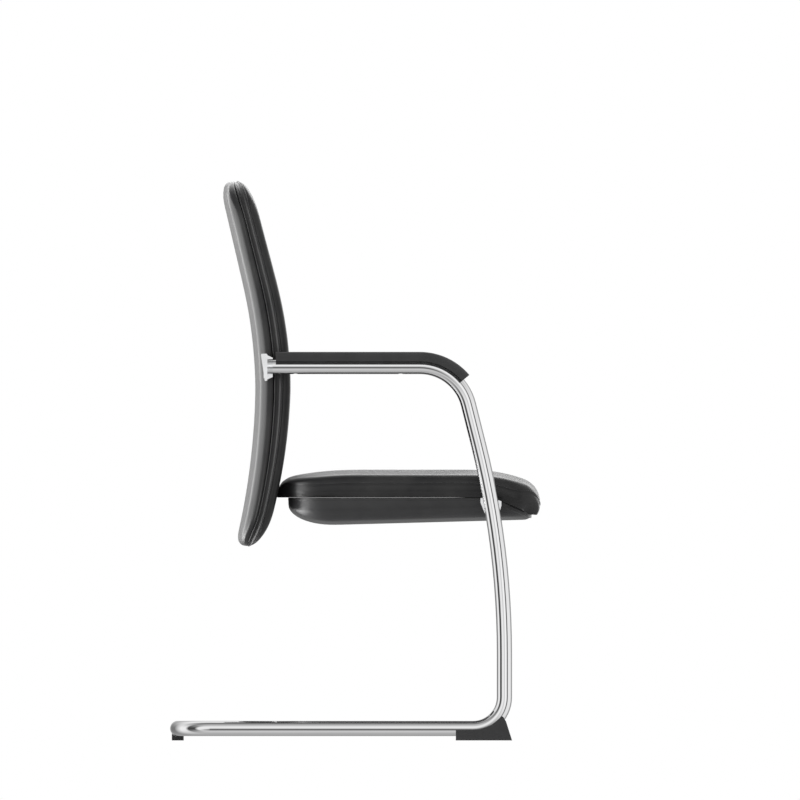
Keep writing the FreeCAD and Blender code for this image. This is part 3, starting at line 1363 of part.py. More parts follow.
def is_lug_corner(edge):
    """True for the lug's lower edges that run across the chair."""
    if not runs_along(edge, Vector(1, 0, 0)):
        return False
    return edge.CenterOfMass.z < dims.lug_bottom + dims.fit_clearance


# Fasteners: each group of like ones is one node

def turned(direction):
    """The rotation that stands a shape made upright along a direction."""
    return Rotation(UP, direction)


def fastener(point, direction, diameter, length, head_height):
    """A hexagon-headed screw: its head's underside is at a point, its shank along a direction."""
    corners = [Vector(diameter, 0, 0)]
    for i in range(1, 7):
        corners.append(Rotation(UP, 60 * i).multVec(corners[0]))
    head = Part.Face(Part.makePolygon(corners)).extrude(UP * -head_height)
    screw = head.fuse(Part.makeCylinder(diameter / 2, length)).removeSplitter()
    screw.Placement = Placement(point, turned(direction))
    return screw


def push_stud(point, direction, length):
    """A round-headed stud: its head's underside is at a point, its shank along a direction."""
    shank = Part.makeCylinder(dims.stud_diameter / 2, length, point, direction)
    head = Part.makeCylinder(dims.stud_head / 2, dims.stud_head_height, point, direction * -1)
    return head.fuse(shank).removeSplitter()


def flanged_nut(point, direction, length, bore_radius):
    """A nut with a square flange at a point and a barrel along a direction."""
    size = dims.nut_flange_size
    flange = Part.makeBox(size, size, dims.nut_flange_height, Vector(-size / 2, -size / 2, 0))
    barrel = Part.makeCylinder(dims.nut_barrel_diameter / 2, length)
    nut = flange.fuse(barrel).removeSplitter().cut(Part.makeCylinder(bore_radius, length))
    nut.Placement = Placement(point, turned(direction))
    return nut


def glide_screws():
    """Screws from the glides' soles into the tube."""
    under_head = dims.glide_screw_seat - dims.fit_clearance
    tip = dims.runner_height - value(BORE_RADIUS) + dims.glide_screw_bite
    screws = []
    for side in SIDES.values():
        front = Vector(side * dims.half_track, value(FRONT_SCREW_PLACE), under_head)
        rear = Vector(side * dims.rear_glide_spread, dims.rear_reach, under_head)
        for point in (front, rear):
            screws.append(fastener(
                point, UP, dims.glide_screw_diameter, tip - under_head, dims.small_head_height
            ))
    add_node("glide_screws", Part.makeCompound(screws))


def armpad_screws():
    """Screws from inside the arm tube up into the pads."""
    bore, corner = value(BORE_RADIUS), dims.pad_screw_diameter
    under_head = dims.arm_height + math.sqrt(bore ** 2 - corner ** 2) - dims.fit_clearance
    tip = dims.arm_height + value(TUBE_RADIUS) + dims.pad_screw_bite - dims.screw_tip_gap
    screws = []
    for side in SIDES.values():
        for y in (dims.pad_screw_rear, dims.pad_screw_front):
            screws.append(fastener(
                Vector(side * dims.half_track, y, under_head), UP, dims.pad_screw_diameter,
                tip - under_head, dims.head_height,
            ))
    add_node("armpad_screws", Part.makeCompound(screws))


def bracket_set_screws():
    """Headless screws that lock the brackets in the arm tubes."""
    screws = []
    for side in SIDES.values():
        x = side * (dims.half_track - value(TUBE_RADIUS))
        start = Vector(x, value(SET_SCREW_PLACE), dims.arm_height)
        length = value(TUBE_RADIUS) - dims.fit_clearance
        screws.append(Part.makeCylinder(
            dims.pad_screw_diameter / 2, length, start, Vector(side, 0, 0)
        ))
    add_node("bracket_set_screws", Part.makeCompound(screws))


def back_screws_and_nuts():
    """Screws forward through the brackets' tongues into nuts in the shell."""
    rearward = Vector(0, 1, 0)
    under_head = value(FLANGE_FRONT) + dims.tongue_thickness + dims.fit_clearance
    barrel_end = value(FLANGE_FRONT) - 2 * dims.fit_clearance
    screws, nuts = [], []
    for x, z in back_fixings():
        front = nut_front(x, z)
        screws.append(fastener(
            Vector(x, under_head, z), rearward * -1, dims.back_screw_diameter,
            under_head - front - dims.screw_tip_gap, dims.head_height,
        ))
        nuts.append(flanged_nut(
            Vector(x, front, z), rearward, barrel_end - front,
            dims.back_screw_diameter / 2 + dims.fit_clearance,
        ))
    add_node("back_bracket_screws", Part.makeCompound(screws))
    add_node("back_nuts", Part.makeCompound(nuts))


def back_panel_studs():
    """Studs that hold the rear panel to the shell."""
    studs = []
    for x, z in stud_places():
        front = stud_head_front(x, z)
        tip = rearmost_joint(x, z, dims.stud_diameter / 2) + dims.fit_clearance
        studs.append(push_stud(Vector(x, front, z), Vector(0, -1, 0), front - tip))
    add_node("back_panel_studs", Part.makeCompound(studs))


def seat_screws_and_nuts():
    """Screws up through the rails into nuts in the board."""
    down = Vector(0, 0, -1)
    board_top = value(BOARD_TOP)
    under_head = value(BOARD_BOTTOM) - dims.rail_height - dims.fit_clearance
    length = board_top - dims.screw_tip_gap - under_head
    screws, nuts = [], []
    for across, along in seat_screw_places():
        x, y = value(across), value(along)
        screws.append(fastener(
            Vector(x, y, under_head), UP, dims.seat_screw_diameter, length, dims.head_height
        ))
        nuts.append(flanged_nut(
            Vector(x, y, board_top), down, dims.nut_length,
            dims.seat_screw_diameter / 2 + dims.fit_clearance,
        ))
    add_node("seat_screws", Part.makeCompound(screws))
    add_node("seat_nuts", Part.makeCompound(nuts))


def tray_screws():
    """Screws up through the tray's bosses to the board."""
    tip = value(BOARD_BOTTOM) - 2 * dims.fit_clearance
    screws = []
    for x, y in boss_places():
        under_head = boss_floor(x, y) + dims.head_height - dims.fit_clearance
        screws.append(fastener(
            Vector(x, y, under_head), UP, dims.tray_screw_diameter, tip - under_head,
            dims.small_head_height,
        ))
    add_node("tray_screws", Part.makeCompound(screws))


# The whole chair

for name, side in SIDES.items():
    frame_half(name, side)
    front_glide(name, side)
    rear_glide(name, side)
    armpad(name, side)
    back_bracket(name, side)
    seat_bracket(name, side)
    seat_rail(name, side)
joint_sleeve()
seat_beam()
seat_board()
seat_cushion()
seat_lower_shell()
back_shell()
back_cushion()
back_rear_panel()
glide_screws()
armpad_screws()
bracket_set_screws()
back_screws_and_nuts()
back_panel_studs()
seat_screws_and_nuts()
tray_screws()
doc.recompute()

for item in doc.Objects:
    if "Invalid" in item.State or "Error" in item.State:
        raise RuntimeError(f"{item.Label} did not build")
os.makedirs("parts", exist_ok=True)
for node in nodes:
    if node.Shape.isNull() or not node.Shape.isValid():
        raise RuntimeError(f"{node.Label} has no valid shape")
for node in nodes:
    node.Shape.exportStep(os.path.join("parts", f"{node.Label}.step"))
    print(node.Label, len(node.Shape.Solids), "solid(s)", round(node.Shape.Volume / 1000, 2), "cm3")
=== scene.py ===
import math

import bpy
from bpy.props import FloatProperty, FloatVectorProperty, PointerProperty
from bpy.types import Operator, Panel, PropertyGroup
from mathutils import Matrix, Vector


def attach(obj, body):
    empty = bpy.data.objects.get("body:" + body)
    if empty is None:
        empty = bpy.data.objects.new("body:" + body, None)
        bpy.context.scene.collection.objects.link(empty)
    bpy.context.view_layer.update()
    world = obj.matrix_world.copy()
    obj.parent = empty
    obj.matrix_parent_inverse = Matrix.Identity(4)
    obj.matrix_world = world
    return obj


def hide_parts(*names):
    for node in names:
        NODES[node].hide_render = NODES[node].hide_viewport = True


bl_info = {
    "name": "Cantilever Chair",
    "version": (1, 0, 0),
    "blender": (4, 5, 0),
    "location": "3D View > Sidebar > Chair",
    "description": "Upholstery, finishes and stage for a bent-tube cantilever armchair",
    "category": "Object",
}

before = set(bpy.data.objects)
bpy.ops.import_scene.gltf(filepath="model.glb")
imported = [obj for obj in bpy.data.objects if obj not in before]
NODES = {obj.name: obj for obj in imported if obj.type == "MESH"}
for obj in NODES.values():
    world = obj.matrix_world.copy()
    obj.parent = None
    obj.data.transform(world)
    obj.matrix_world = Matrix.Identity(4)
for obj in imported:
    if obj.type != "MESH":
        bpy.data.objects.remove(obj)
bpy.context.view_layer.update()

MM = 0.001

# A padded piece is shaped at so many points round its edge, and at these distances in from it: over
# its shown face, at the rim of its hidden one, and over that one. All distances are in millimetres.
EDGE_POINTS = 200
FACE_STEPS = (0, 0.4, 1.2, 2.6, 4.6, 7.2, 10.5, 14.5, 19, 25, 33, 43, 56, 72, 92, 116, 142, 168, 192, 212)
RIM_STEPS = (3.2, 8)
HIDDEN_STEPS = (26, 60, 120, 180, 212)


def length(name, millimetres, description):
    """A length that a user can set, given in millimetres and kept in metres."""
    return FloatProperty(
        name=name, description=description, default=millimetres * MM, unit="LENGTH", subtype="DISTANCE"
    )


def share(name, default, description):
    return FloatProperty(
        name=name, description=description, default=default, min=0, max=1, subtype="FACTOR"
    )


def power(name, default, description):
    return FloatProperty(name=name, description=description, default=default, min=0, unit="POWER")


def colour(name, default, description):
    return FloatVectorProperty(
        name=name, description=description, default=default, size=3, min=0, max=1, subtype="COLOR"
    )


# Sizes and colours

class BackSizes(PropertyGroup):
    """The back's padded form, as the frame was made for it."""

    top: length("Top", 983.2, "Height of the back's top edge")
    bottom: length("Bottom", 342.6, "Height of the back's bottom edge")
    half_width: length("Half width", 232, "Half of the back's width at its waist")
    narrowing: length("Narrowing", 9, "How much narrower each side is at the top and bottom")
    top_corner: length("Top corners", 75, "Corner radius of the top, seen from the front")
    bottom_corner: length("Bottom corners", 62, "Corner radius of the bottom, seen from the front")
    rear: length("Rear face", 176.4, "Rear face where the back stands upright")
    upper_start: length("Upper curve", 610, "Height where the back begins to lean, going up")
    upper_radius: length("Upper radius", 860, "Radius of that curve")
    upper_lean: FloatProperty(
        name="Lean", description="Lean of the straight top", default=math.radians(13.1), unit="ROTATION",
        subtype="ANGLE",
    )
    lower_start: length("Lower curve", 633, "Height where the back begins to curve, going down")
    lower_radius: length("Lower radius", 1200, "Radius of that curve")
    thickness: length("Thickness", 65.3, "Thickness over all at the middle")
    top_thinning: length("Top thinning", 9.5, "How much thinner the back is at its top")
    bottom_thinning: length("Bottom thinning", 13.2, "How much thinner the back is at its bottom")
    crown: length("Rear crown", 10, "How far the rear face bulges across the width")
    hollow: length("Front hollow", 13, "How far the front face is hollowed across the width")
    side_round: length("Side rounding", 12, "Depth at which the flat side begins, from either face")
    rear_side_reach: length("Rear side reach", 21, "Width over which the rear rounds into the side")
    front_side_reach: length("Front side reach", 15, "Width over which the front rounds into the side")
    rear_side_inset: length("Rear side inset", 17, "How far the rear draws in there")
    front_side_inset: length("Front side inset", 14, "How far the front draws in there")
    top_rear_reach: length("Top rear reach", 40, "Height over which the rear rounds into the top")
    top_rear_inset: length("Top rear inset", 21, "How far the rear draws in there")
    top_front_reach: length("Top front reach", 50, "Height over which the front rounds into the top")
    top_front_inset: length("Top front inset", 20.5, "How far the front draws in there")
    bottom_rear_reach: length("Bottom rear reach", 25, "Height of the rear's lower rounding")
    bottom_rear_inset: length("Bottom rear inset", 19, "How far the rear draws in there")
    bottom_front_reach: length("Bottom front reach", 60, "Height of the front's lower rounding")
    bottom_front_inset: length("Bottom front inset", 27, "How far the front draws in there")
    shell_joint: share("Shell joint", 0.42, "Share of the thickness behind the moulded shell's front")
    shell_room: length("Shell room", 10.6, "Depth of the rear panel's hollow for the shell")
    shell_margin: length("Shell margin", 15, "From the side to the edge of that hollow")
    seam: share("Panel seam", 0.36, "Where the rear panel's edge lies on the side, from the rear")
    rear_welt: share("Rear piping", 0.45, "Where the thick piping lies on the side")
    front_welt: share("Front piping", 0.915, "Where the thin piping lies on the side")
    rear_welt_radius: length("Rear piping radius", 2.2, "Radius of the thick piping")
    front_welt_radius: length("Front piping radius", 1.2, "Radius of the thin piping")
    give: length("Give", 1.4, "How far the front's padding may move when it is settled")
    rear_give: length("Rear give", 0.7, "How far the rear's padding may move when it is settled")


class SeatSizes(PropertyGroup):
    """The seat cushion's padded form."""

    crest: length("Crest", 477.8, "Height of the seat's top")
    base: length("Base", 427.6, "Height of the cushion's underside")
    front: length("Front", 325.6, "Front edge, in front of the origin")
    rear: length("Rear", 137.5, "Rear edge")
    half_width: length("Half width", 240, "Half of the cushion's width at the front")
    rear_narrowing: length("Rear narrowing", 12, "How much narrower each side is at the rear")
    front_corner: length("Front corners", 58, "Corner radius of the front, seen from above")
    rear_corner: length("Rear corners", 80, "Corner radius of the rear, seen from above")
    crown: length("Crown", 9, "How far the top bulges across the width")
    shoulder: length("Shoulder", 20, "Rounding of the top into the sides")
    fall_start: length("Waterfall start", 205, "Where the waterfall front begins")
    fall_radius: length("Waterfall radius", 270, "Radius of the waterfall front")
    nose_height: length("Nose height", 418, "Height of the foremost point")
    nose_upper: length("Upper nose", 49.6, "Radius of the nose above that point")
    nose_lower: length("Lower nose", 27, "Radius of the nose below that point")
    rear_radius: length("Rear fall radius", 560, "Radius of the top's fall to the rear")
    rear_roll: length("Rear roll", 32, "Length of the rounded rear end")
    rear_height: length("Rear roll height", 38.2, "Height of the rounded rear end")
    ramp_start: length("Ramp start", 243.7, "Where the underside begins to slope down")
    ramp_slope: FloatProperty(
        name="Ramp slope",
        description="Fall of the sloping underside for each unit of length",
        default=0.415,
    )
    give: length("Give", 1.2, "How far the padding may move when it is settled")


class TraySizes(PropertyGroup):
    """The moulded tray under the seat."""

    half_width: length("Half width", 226, "Half of the tray's width")
    front: length("Front", 310.3, "Front edge, in front of the origin")
    rear: length("Rear", 117.4, "Rear edge")
    corner: length("Corners", 60, "Corner radius, seen from above")
    lowest: length("Lowest point", 379.2, "Height of the tray's lowest point")
    slope: FloatProperty(
        name="Floor slope", description="Rise of the floor towards the front", default=0.0271
    )
    rear_roll: length("Rear roll", 77.6, "Length of the rounded rear end")
    rear_rise: length("Rear rise", 36, "Height of the rounded rear end")
    front_roll: length("Front roll", 12.5, "Length of the rounded front end")
    front_rise: length("Front rise", 11, "Height of the rounded front end")
    crown: length("Crown", 7, "How far the floor bulges down across the width")
    edge: length("Side rounding", 24, "Rounding of the sides into the floor")
    wall: length("Wall", 3, "Wall of the tray")
    lip_height: length("Lip height", 5.5, "Height of the bead round the rim")
    lip: length("Lip", 0.5, "How far that bead stands out")


class Finishes(PropertyGroup):
    """Colours and gloss of the chair's materials."""

    leather: colour("Leather", (0.009, 0.009, 0.0094), "Colour of the leather")
    leather_worn: colour("Leather, worn", (0.019, 0.0188, 0.0186), "Colour where it is rubbed")
    leather_gloss: share("Leather roughness", 0.36, "Roughness of the leather")
    moulded: colour("Moulded plastic", (0.013, 0.013, 0.0135), "Colour of the tray and glides")
    pad: colour("Arm pads", (0.021, 0.021, 0.0215), "Colour of the arm pads' skin")
    chrome: colour("Chrome", (0.9, 0.9, 0.905), "Colour of the plated tube")
    casting: colour("Plated casting", (0.86, 0.865, 0.875), "Colour of the plated brackets")
    steel: colour("Zinc-plated steel", (0.52, 0.53, 0.54), "Colour of screws and inner tubes")
    plywood: colour("Plywood", (0.52, 0.36, 0.2), "Colour of the seat board")
    thread: colour("Thread", (0.02, 0.02, 0.021), "Colour of the stitching")


class StageSizes(PropertyGroup):
    """Floor, light and camera."""

    floor: length("Floor", 9000, "Size of the floor")
    view_width: length("View width", 1408, "Width of the view")
    view_y: length("View middle", -79.0, "Middle of the view along the chair")
    view_z: length("View height", 599.2, "Middle of the view above the floor")
    top_light: power("Top light", 62, "Power of the broad light over the floor")
    rear_box: power("Rear softbox", 104, "Power of the softbox behind the padded pieces")
    rear_rim_box: power("Rear rim softbox", 120, "Power of the softbox behind and beyond them")
    roof_box: power("Roof softbox", 88, "Power of the softbox over and beyond them")
    front_box: power("Front softbox", 42, "Power of the softbox in front of and beyond them")
    bracket_box: power("Bracket softbox", 3, "Power of the softbox before the plated castings")
    low_box: power("Low softbox", 240, "Power of the softbox under and behind them")


# Edges of padded pieces

CORNER_STEPS = 24
STRAIGHT_STEPS = 40


class Edge:
    """A closed edge round a piece, with its points spaced evenly from the middle of its low end."""

    def __init__(self, width_at, low, high, low_corner, high_corner):
        turn = [math.radians(90 * i / CORNER_STEPS) for i in range(CORNER_STEPS + 1)]
        low_turn = [low + low_corner * (1 - math.cos(a)) for a in turn]
        high_turn = [high - high_corner * (1 - math.cos(a)) for a in reversed(turn)]
        start, end = low_turn[-1], high_turn[0]
        run = end - start
        straight = [start + run * i / STRAIGHT_STEPS for i in range(1, STRAIGHT_STEPS)]
        path = [(0.0, low)]
        path += [(width_at(t), t) for t in low_turn + straight + high_turn]
        path.append((0.0, high))
        right = evenly(path, EDGE_POINTS // 2)
        left = [(-x, v) for x, v in reversed(right[1:-1])]
        self.points = right + left
        self.normals = [self._normal(i) for i in range(EDGE_POINTS)]
        self.middle = (low + high) / 2
        self.half_v = (high - low) / 2
        self.half_x = max(x for x, _ in right)

    def _normal(self, i):
        before = self.points[i - 1]
        after = self.points[(i + 1) % EDGE_POINTS]
        across = Vector((after[1] - before[1], before[0] - after[0]))
        return across.normalized()

    def inside(self, i, step):
        """A place in from the edge, and how far in it is, measured square to the edge."""
        x, v = self.points[i]
        move = Vector((x * step / self.half_x, (v - self.middle) * step / self.half_v))
        depth = max(move.dot(self.normals[i]), 0)
        return x - move.x, v - move.y, depth

    def outside(self, i, step):
        """A place that stands out from the edge by a step."""
        x, v = self.points[i]
        return x + self.normals[i].x * step, v + self.normals[i].y * step


def evenly(path, count):
    """Points spaced evenly along a path, its ends included."""
    runs = [math.dist(a, b) for a, b in zip(path, path[1:])]
    total, points, done, i = sum(runs), [path[0]], 0.0, 0
    for k in range(1, count):
        target = total * k / count
        while done + runs[i] < target:
            done += runs[i]
            i += 1
        part = (target - done) / runs[i]
        a, b = path[i], path[i + 1]
        points.append((a[0] + (b[0] - a[0]) * part, a[1] + (b[1] - a[1]) * part))
    points.append(path[-1])
    return points


def rounding(distance, reach, inset):
    """How far an elliptical edge has drawn in, at a distance from the end it closes."""
    if distance >= reach:
        return 0.0
    return inset * (1 - math.sqrt(max(1 - (1 - distance / reach) ** 2, 0)))


def between(a, b, part):
    """A value a part of the way from one to another."""
    return a + (b - a) * part


def eased(part):
    """A part that sets off and arrives softly, and stays between 0 and 1."""
    part = min(max(part, 0), 1)
    return part * part * (3 - 2 * part)


# Mesh making

PIPING_SIDES = 10

# A row of stitches: its pitch, one stitch's length and the thread's radius, and then the rings of one
# stitch, each with its place along it as a share of its length, and its height and size as shares of
# that radius
STITCH_PITCH = 4.6 * MM
STITCH_LENGTH = 3.1 * MM
THREAD_RADIUS = 0.32 * MM
STITCH_RINGS = ((-0.5, -0.4, 0.6), (-0.36, 0.7, 1), (0.36, 0.7, 1), (0.5, -0.4, 0.6))

# Cloth that settles a padded piece, and how many loops of its shown face are sewn down at its edge
CLOTH_FRAMES = 20
CLOTH_STEPS = 6
CLOTH_PRESSURE = 8
CLOTH_STRETCH = 40
CLOTH_BENDING = 6
SEWN_LOOPS = 7


def new_piece(name, points, faces):
    """A smooth-shaded piece made of points and faces."""
    mesh = bpy.data.meshes.new(name)
    mesh.from_pydata([tuple(p) for p in points], [], faces)
    mesh.validate()
    mesh.shade_smooth()
    piece = bpy.data.objects.new(name, mesh)
    bpy.context.scene.collection.objects.link(piece)
    return piece


def ring(place, *given):
    """One loop of points, each placed by a function of its number on the edge."""
    return [Vector(place(i, *given)) for i in range(EDGE_POINTS)]


def bridge(loops):
    """Points and faces between loops, with both ends closed by rungs across them."""
    count = len(loops[0])
    faces = []
    for row in range(len(loops) - 1):
        a, b = row * count, (row + 1) * count
        for i in range(count):
            j = (i + 1) % count
            faces.append((a + i, a + j, b + j, b + i))
    faces += turned(rungs(0, count)) + rungs((len(loops) - 1) * count, count)
    return [p for loop in loops for p in loop], faces


def rungs(start, count):
    """Faces that close one loop by joining its right half to its left half."""
    faces = []
    for i in range(count // 2):
        corners = (i, i + 1, (count - i - 1) % count, (count - i) % count)
        faces.append(tuple(dict.fromkeys(start + k for k in corners)))
    return faces


def turned(faces):
    """The same faces, turned to their other side."""
    return [face[::-1] for face in faces]


def piping_bead(name, centres, outward, radius):
    """A closed round bead along centres on the back's side."""
    depthwise = Vector((0, 1, 0))
    points, faces = [], []
    for k in range(PIPING_SIDES):
        angle = 2 * math.pi * k / PIPING_SIDES
        across, deep = radius * math.cos(angle), radius * math.sin(angle)
        points += [c + o * across + depthwise * deep for c, o in zip(centres, outward)]
        a, b = k * EDGE_POINTS, ((k + 1) % PIPING_SIDES) * EDGE_POINTS
        for i in range(EDGE_POINTS):
            j = (i + 1) % EDGE_POINTS
            faces.append((a + i, b + i, b + j, a + j))
    return new_piece(name, points, faces)


def stitches(name, path, outward):
    """A row of short thread bars along a closed path on a surface."""
    points, faces = [], []
    ends = path[1:] + path[:1]
    target, done = STITCH_PITCH / 2, 0.0
    for i, (start, end) in enumerate(zip(path, ends)):
        distance = (end - start).length
        while target < done + distance:
            part = (target - done) / distance
            out = outward[i].lerp(outward[(i + 1) % len(path)], part).normalized()
            stitch = stitch_points(start.lerp(end, part), (end - start).normalized(), out)
            faces += stitch_faces(len(points))
            points += stitch
            target += STITCH_PITCH
        done += distance
    return new_piece(name, points, faces)


def stitch_points(middle, along, out):
    """Four rings of four points along one bar of thread."""
    side = along.cross(out).normalized()
    points = []
    for place, lift, size in STITCH_RINGS:
        centre = middle + along * (STITCH_LENGTH * place) + out * (THREAD_RADIUS * lift)
        for angle in (0, 90, 180, 270):
            turn = math.radians(angle)
            points.append(
                centre + (side * math.cos(turn) + out * math.sin(turn)) * (THREAD_RADIUS * size)
            )
    return points


def stitch_faces(first):
    """Faces round one bar of thread and at its ends."""
    faces = []
    for a in (first, first + 4, first + 8):
        b = a + 4
        faces += [(a + k, b + k, b + (k + 1) % 4, a + (k + 1) % 4) for k in range(4)]
    faces.append((first, first + 1, first + 2, first + 3))
    faces.append((first + 15, first + 14, first + 13, first + 12))
    return faces


def settle(piece, give):
    """Settles a padded piece as cloth under pressure, held round its edge.

    Movement against a point's normal is left out, and no point moves further than give. The faces of
    these pieces are turned inwards, so this draws the padding in.
    """
    scene = bpy.context.scene
    rest = [(v.co.copy(), v.normal.copy()) for v in piece.data.vertices]
    sewn = piece.vertex_groups.new(name="sewn")
    sewn.add(list(range((len(FACE_STEPS) - SEWN_LOOPS) * EDGE_POINTS, len(rest))), 1.0, "REPLACE")
    cloth = piece.modifiers.new("Cloth", "CLOTH")
    cloth.settings.vertex_group_mass = sewn.name
    cloth.settings.use_pressure = True
    cloth.settings.uniform_pressure_force = CLOTH_PRESSURE
    cloth.settings.effector_weights.gravity = 0
    cloth.settings.quality = CLOTH_STEPS
    cloth.settings.tension_stiffness = CLOTH_STRETCH
    cloth.settings.compression_stiffness = CLOTH_STRETCH
    cloth.settings.bending_stiffness = CLOTH_BENDING
    cloth.point_cache.frame_start = 1
    cloth.point_cache.frame_end = CLOTH_FRAMES
    for frame_number in range(1, CLOTH_FRAMES + 1):
        scene.frame_set(frame_number)
    settled = piece.evaluated_get(bpy.context.evaluated_depsgraph_get()).to_mesh()
    moves = [v.co - start for v, (start, _) in zip(settled.vertices, rest)]
    piece.modifiers.remove(cloth)
    piece.vertex_groups.remove(sewn)
    scene.frame_set(1)
    for vertex, (start, normal), move in zip(piece.data.vertices, rest, moves):
        move -= normal * min(move.dot(normal), 0)
        distance = move.length
        if distance > 0:
            move = move * (give * math.tanh(distance / give) / distance)
        vertex.co = start + move
    piece.data.update()


def soften(piece):
    """One subdivision over a piece's finished points."""
    modifier = piece.modifiers.new("Subdivision", "SUBSURF")
    modifier.levels = 1
    modifier.render_levels = 1


def finish_piece(piece, finish, slot, *replaced):
    """Gives a piece its material and its body, and hides the frame nodes that it stands for."""
    piece.data.materials.append(finish)
    lit("padded_pieces").objects.link(piece)
    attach(piece, "root")
    if replaced:
        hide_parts(*replaced)


def lit(name):
    """The pieces that a group of softboxes lights, apart from all others."""
    return bpy.data.collections.get(name) or bpy.data.collections.new(name)


def refinish(finish, *names):
    """Gives frame nodes a finer material."""
    for name in names:
        for slot in NODES[name].material_slots:
            slot.material = finish


# The back's form

# Side of the front cushion with its strip, seams and piping grooves, then side of the rear cover. Each
# pair is the share of the way from the rear rim to the front one, and how far the side stands out
# there, in millimetres.
STRIP_PROFILE = (
    (0.928, -0.9), (0.915, -1.6), (0.9, -1.0), (0.885, 0.1), (0.865, 0.7), (0.82, 0.9), (0.76, 0.7),
    (0.715, 0.1), (0.7, -0.9), (0.68, -1.7), (0.64, -1.8), (0.58, -1.3), (0.52, -1.5), (0.45, -2.8),
)
COVER_PROFILE = ((0.19, 0.2), (0.23, 0.35), (0.27, 0.3), (0.31, -0.1), (0.335, -0.7))

# The cushion's and the cover's last edge at the seam between them, as further shares and distances
CUSHION_SEAM = (0.02, -1.9)
COVER_SEAM = (-0.005, -1.7)
CUSHION_GAP = 0.4 * MM
SEAM_FLAT = 4 * MM

# Width of the step at the edge of the rear cover's hollow, in millimetres
HOLLOW_STEP = 0.6

# How deep each bead of piping lies below the side, and where the row of stitches runs
REAR_WELT_SUNK = 2.3 * MM
FRONT_WELT_SUNK = 1.7 * MM
STITCH_ROW = (0.845, 0.72 * MM)


def back_rear_line(back, z):
    """Y of the rear face on the chair's centre line."""
    y = back.rear
    above = z - back.upper_start
    curve_end = back.upper_radius * math.sin(back.upper_lean)
    if above > curve_end:
        y += back.upper_radius * (1 - math.cos(back.upper_lean))
        y += (above - curve_end) * math.tan(back.upper_lean)
    elif above > 0:
        y += back.upper_radius - math.sqrt(back.upper_radius ** 2 - above ** 2)
    below = back.lower_start - z
    if below > 0:
        y += back.lower_radius - math.sqrt(back.lower_radius ** 2 - below ** 2)
    return y


def back_place(back, z):
    """Signed share of the way from the back's middle to its top or bottom."""
    middle = (back.top + back.bottom) / 2
    return (z - middle) / (back.top - middle)


def back_depth(back, z):
    place = back_place(back, z)
    thinning = back.top_thinning if place > 0 else back.bottom_thinning
    return back.thickness - thinning * place * place


def back_width(back, z):
    """Half of the back's width at a height, with its corners rounded."""
    top, bottom = max(back.top - z, 0), max(z - back.bottom, 0)
    full = back.half_width - back.narrowing * back_place(back, z) ** 2
    full -= rounding(top, back.top_corner, back.top_corner)
    return full - rounding(bottom, back.bottom_corner, back.bottom_corner)


def back_end_rounding(back, face, z):
    """How far the rear or front face draws in towards the top and bottom."""
    top, bottom = max(back.top - z, 0), max(z - back.bottom, 0)
    if face == "rear":
        inset = rounding(top, back.top_rear_reach, back.top_rear_inset)
        return inset + rounding(bottom, back.bottom_rear_reach, back.bottom_rear_inset)
    inset = rounding(top, back.top_front_reach, back.top_front_inset)
    return inset + rounding(bottom, back.bottom_front_reach, back.bottom_front_inset)


def back_front_face(back, x, z):
    across = (x / back.half_width) ** 2
    hollow = back.hollow * (1 - back_place(back, z) ** 2) * (1 - across)
    y = back_rear_line(back, z) - back_depth(back, z) + hollow
    return y + back_end_rounding(back, "front", z)


def back_rear_face(back, x, z):
    y = back_rear_line(back, z) - back.crown * (x / back.half_width) ** 2
    return y - back_end_rounding(back, "rear", z)


def back_shell_face(back, x, z):
    """Y of the moulded shell's front face."""
    rear, front = back_rear_face(back, x, z), back_front_face(back, x, z)
    return rear - back.shell_joint * (rear - front)


def back_edge_line(back):
    return Edge(lambda z: back_width(back, z), back.bottom, back.top, back.bottom_corner, back.top_corner)


def back_face_loop(back, edge, face, reach, inset, step):
    """One loop of the rear or front face at a step in from the edge, rounded over towards the sides."""
    def place(i):
        x, z, depth = edge.inside(i, step)
        side = edge.normals[i].x ** 2
        return x, face(back, x, z) + side * rounding(depth, reach, inset), z

    return ring(place)


def back_rims(back, edge):
    """The rear and front loops between which the flat of the side lies."""
    return (
        back_face_loop(back, edge, back_rear_face, back.rear_side_reach, -back.side_round, 0),
        back_face_loop(back, edge, back_front_face, back.front_side_reach, back.side_round, 0),
    )


def side_loop(edge, rims, share_along, out):
    """One loop on the side, at a share of the way from the rear rim to the front one."""
    rear, front = rims

    def place(i):
        x, z = edge.outside(i, out)
        return x, between(rear[i].y, front[i].y, share_along), z

    return ring(place)


def joint_loop(back, edge, rims, seam, gap, step):
    """One loop of the faces that meet behind the seam, leading in from it to the moulded shell."""
    rear, front = rims

    def place(i):
        x, z, _ = edge.inside(i, step * MM)
        from_edge = math.hypot(edge.points[i][0] - x, edge.points[i][1] - z)
        part = eased((from_edge - SEAM_FLAT) / (back.shell_margin - SEAM_FLAT))
        at_seam = between(rear[i].y, front[i].y, seam)
        return x, between(at_seam, back_shell_face(back, x, z) - gap, part), z

    return ring(place)


def build_back_cushion(back, finish):
    """The padded front with its boxing strip, seams and the recess that the piping lies in."""
    edge = back_edge_line(back)
    rims = back_rims(back, edge)
    reach, inset = back.front_side_reach, back.front_side_inset
    seam = back.seam + CUSHION_SEAM[0]
    loops = [
        back_face_loop(back, edge, back_front_face, reach, inset, step * MM)
        for step in reversed(FACE_STEPS)
    ]
    profile = (*STRIP_PROFILE, (seam, CUSHION_SEAM[1]))
    loops += [side_loop(edge, rims, place, out * MM) for place, out in profile]
    steps = (*RIM_STEPS, back.shell_margin / MM, *HIDDEN_STEPS)
    loops += [joint_loop(back, edge, rims, seam, CUSHION_GAP, step) for step in steps]
    piece = new_piece("back_front_cushion", *bridge(loops))
    settle(piece, back.give)
    soften(piece)
    finish_piece(piece, finish, "back_leather", "back_cushion")


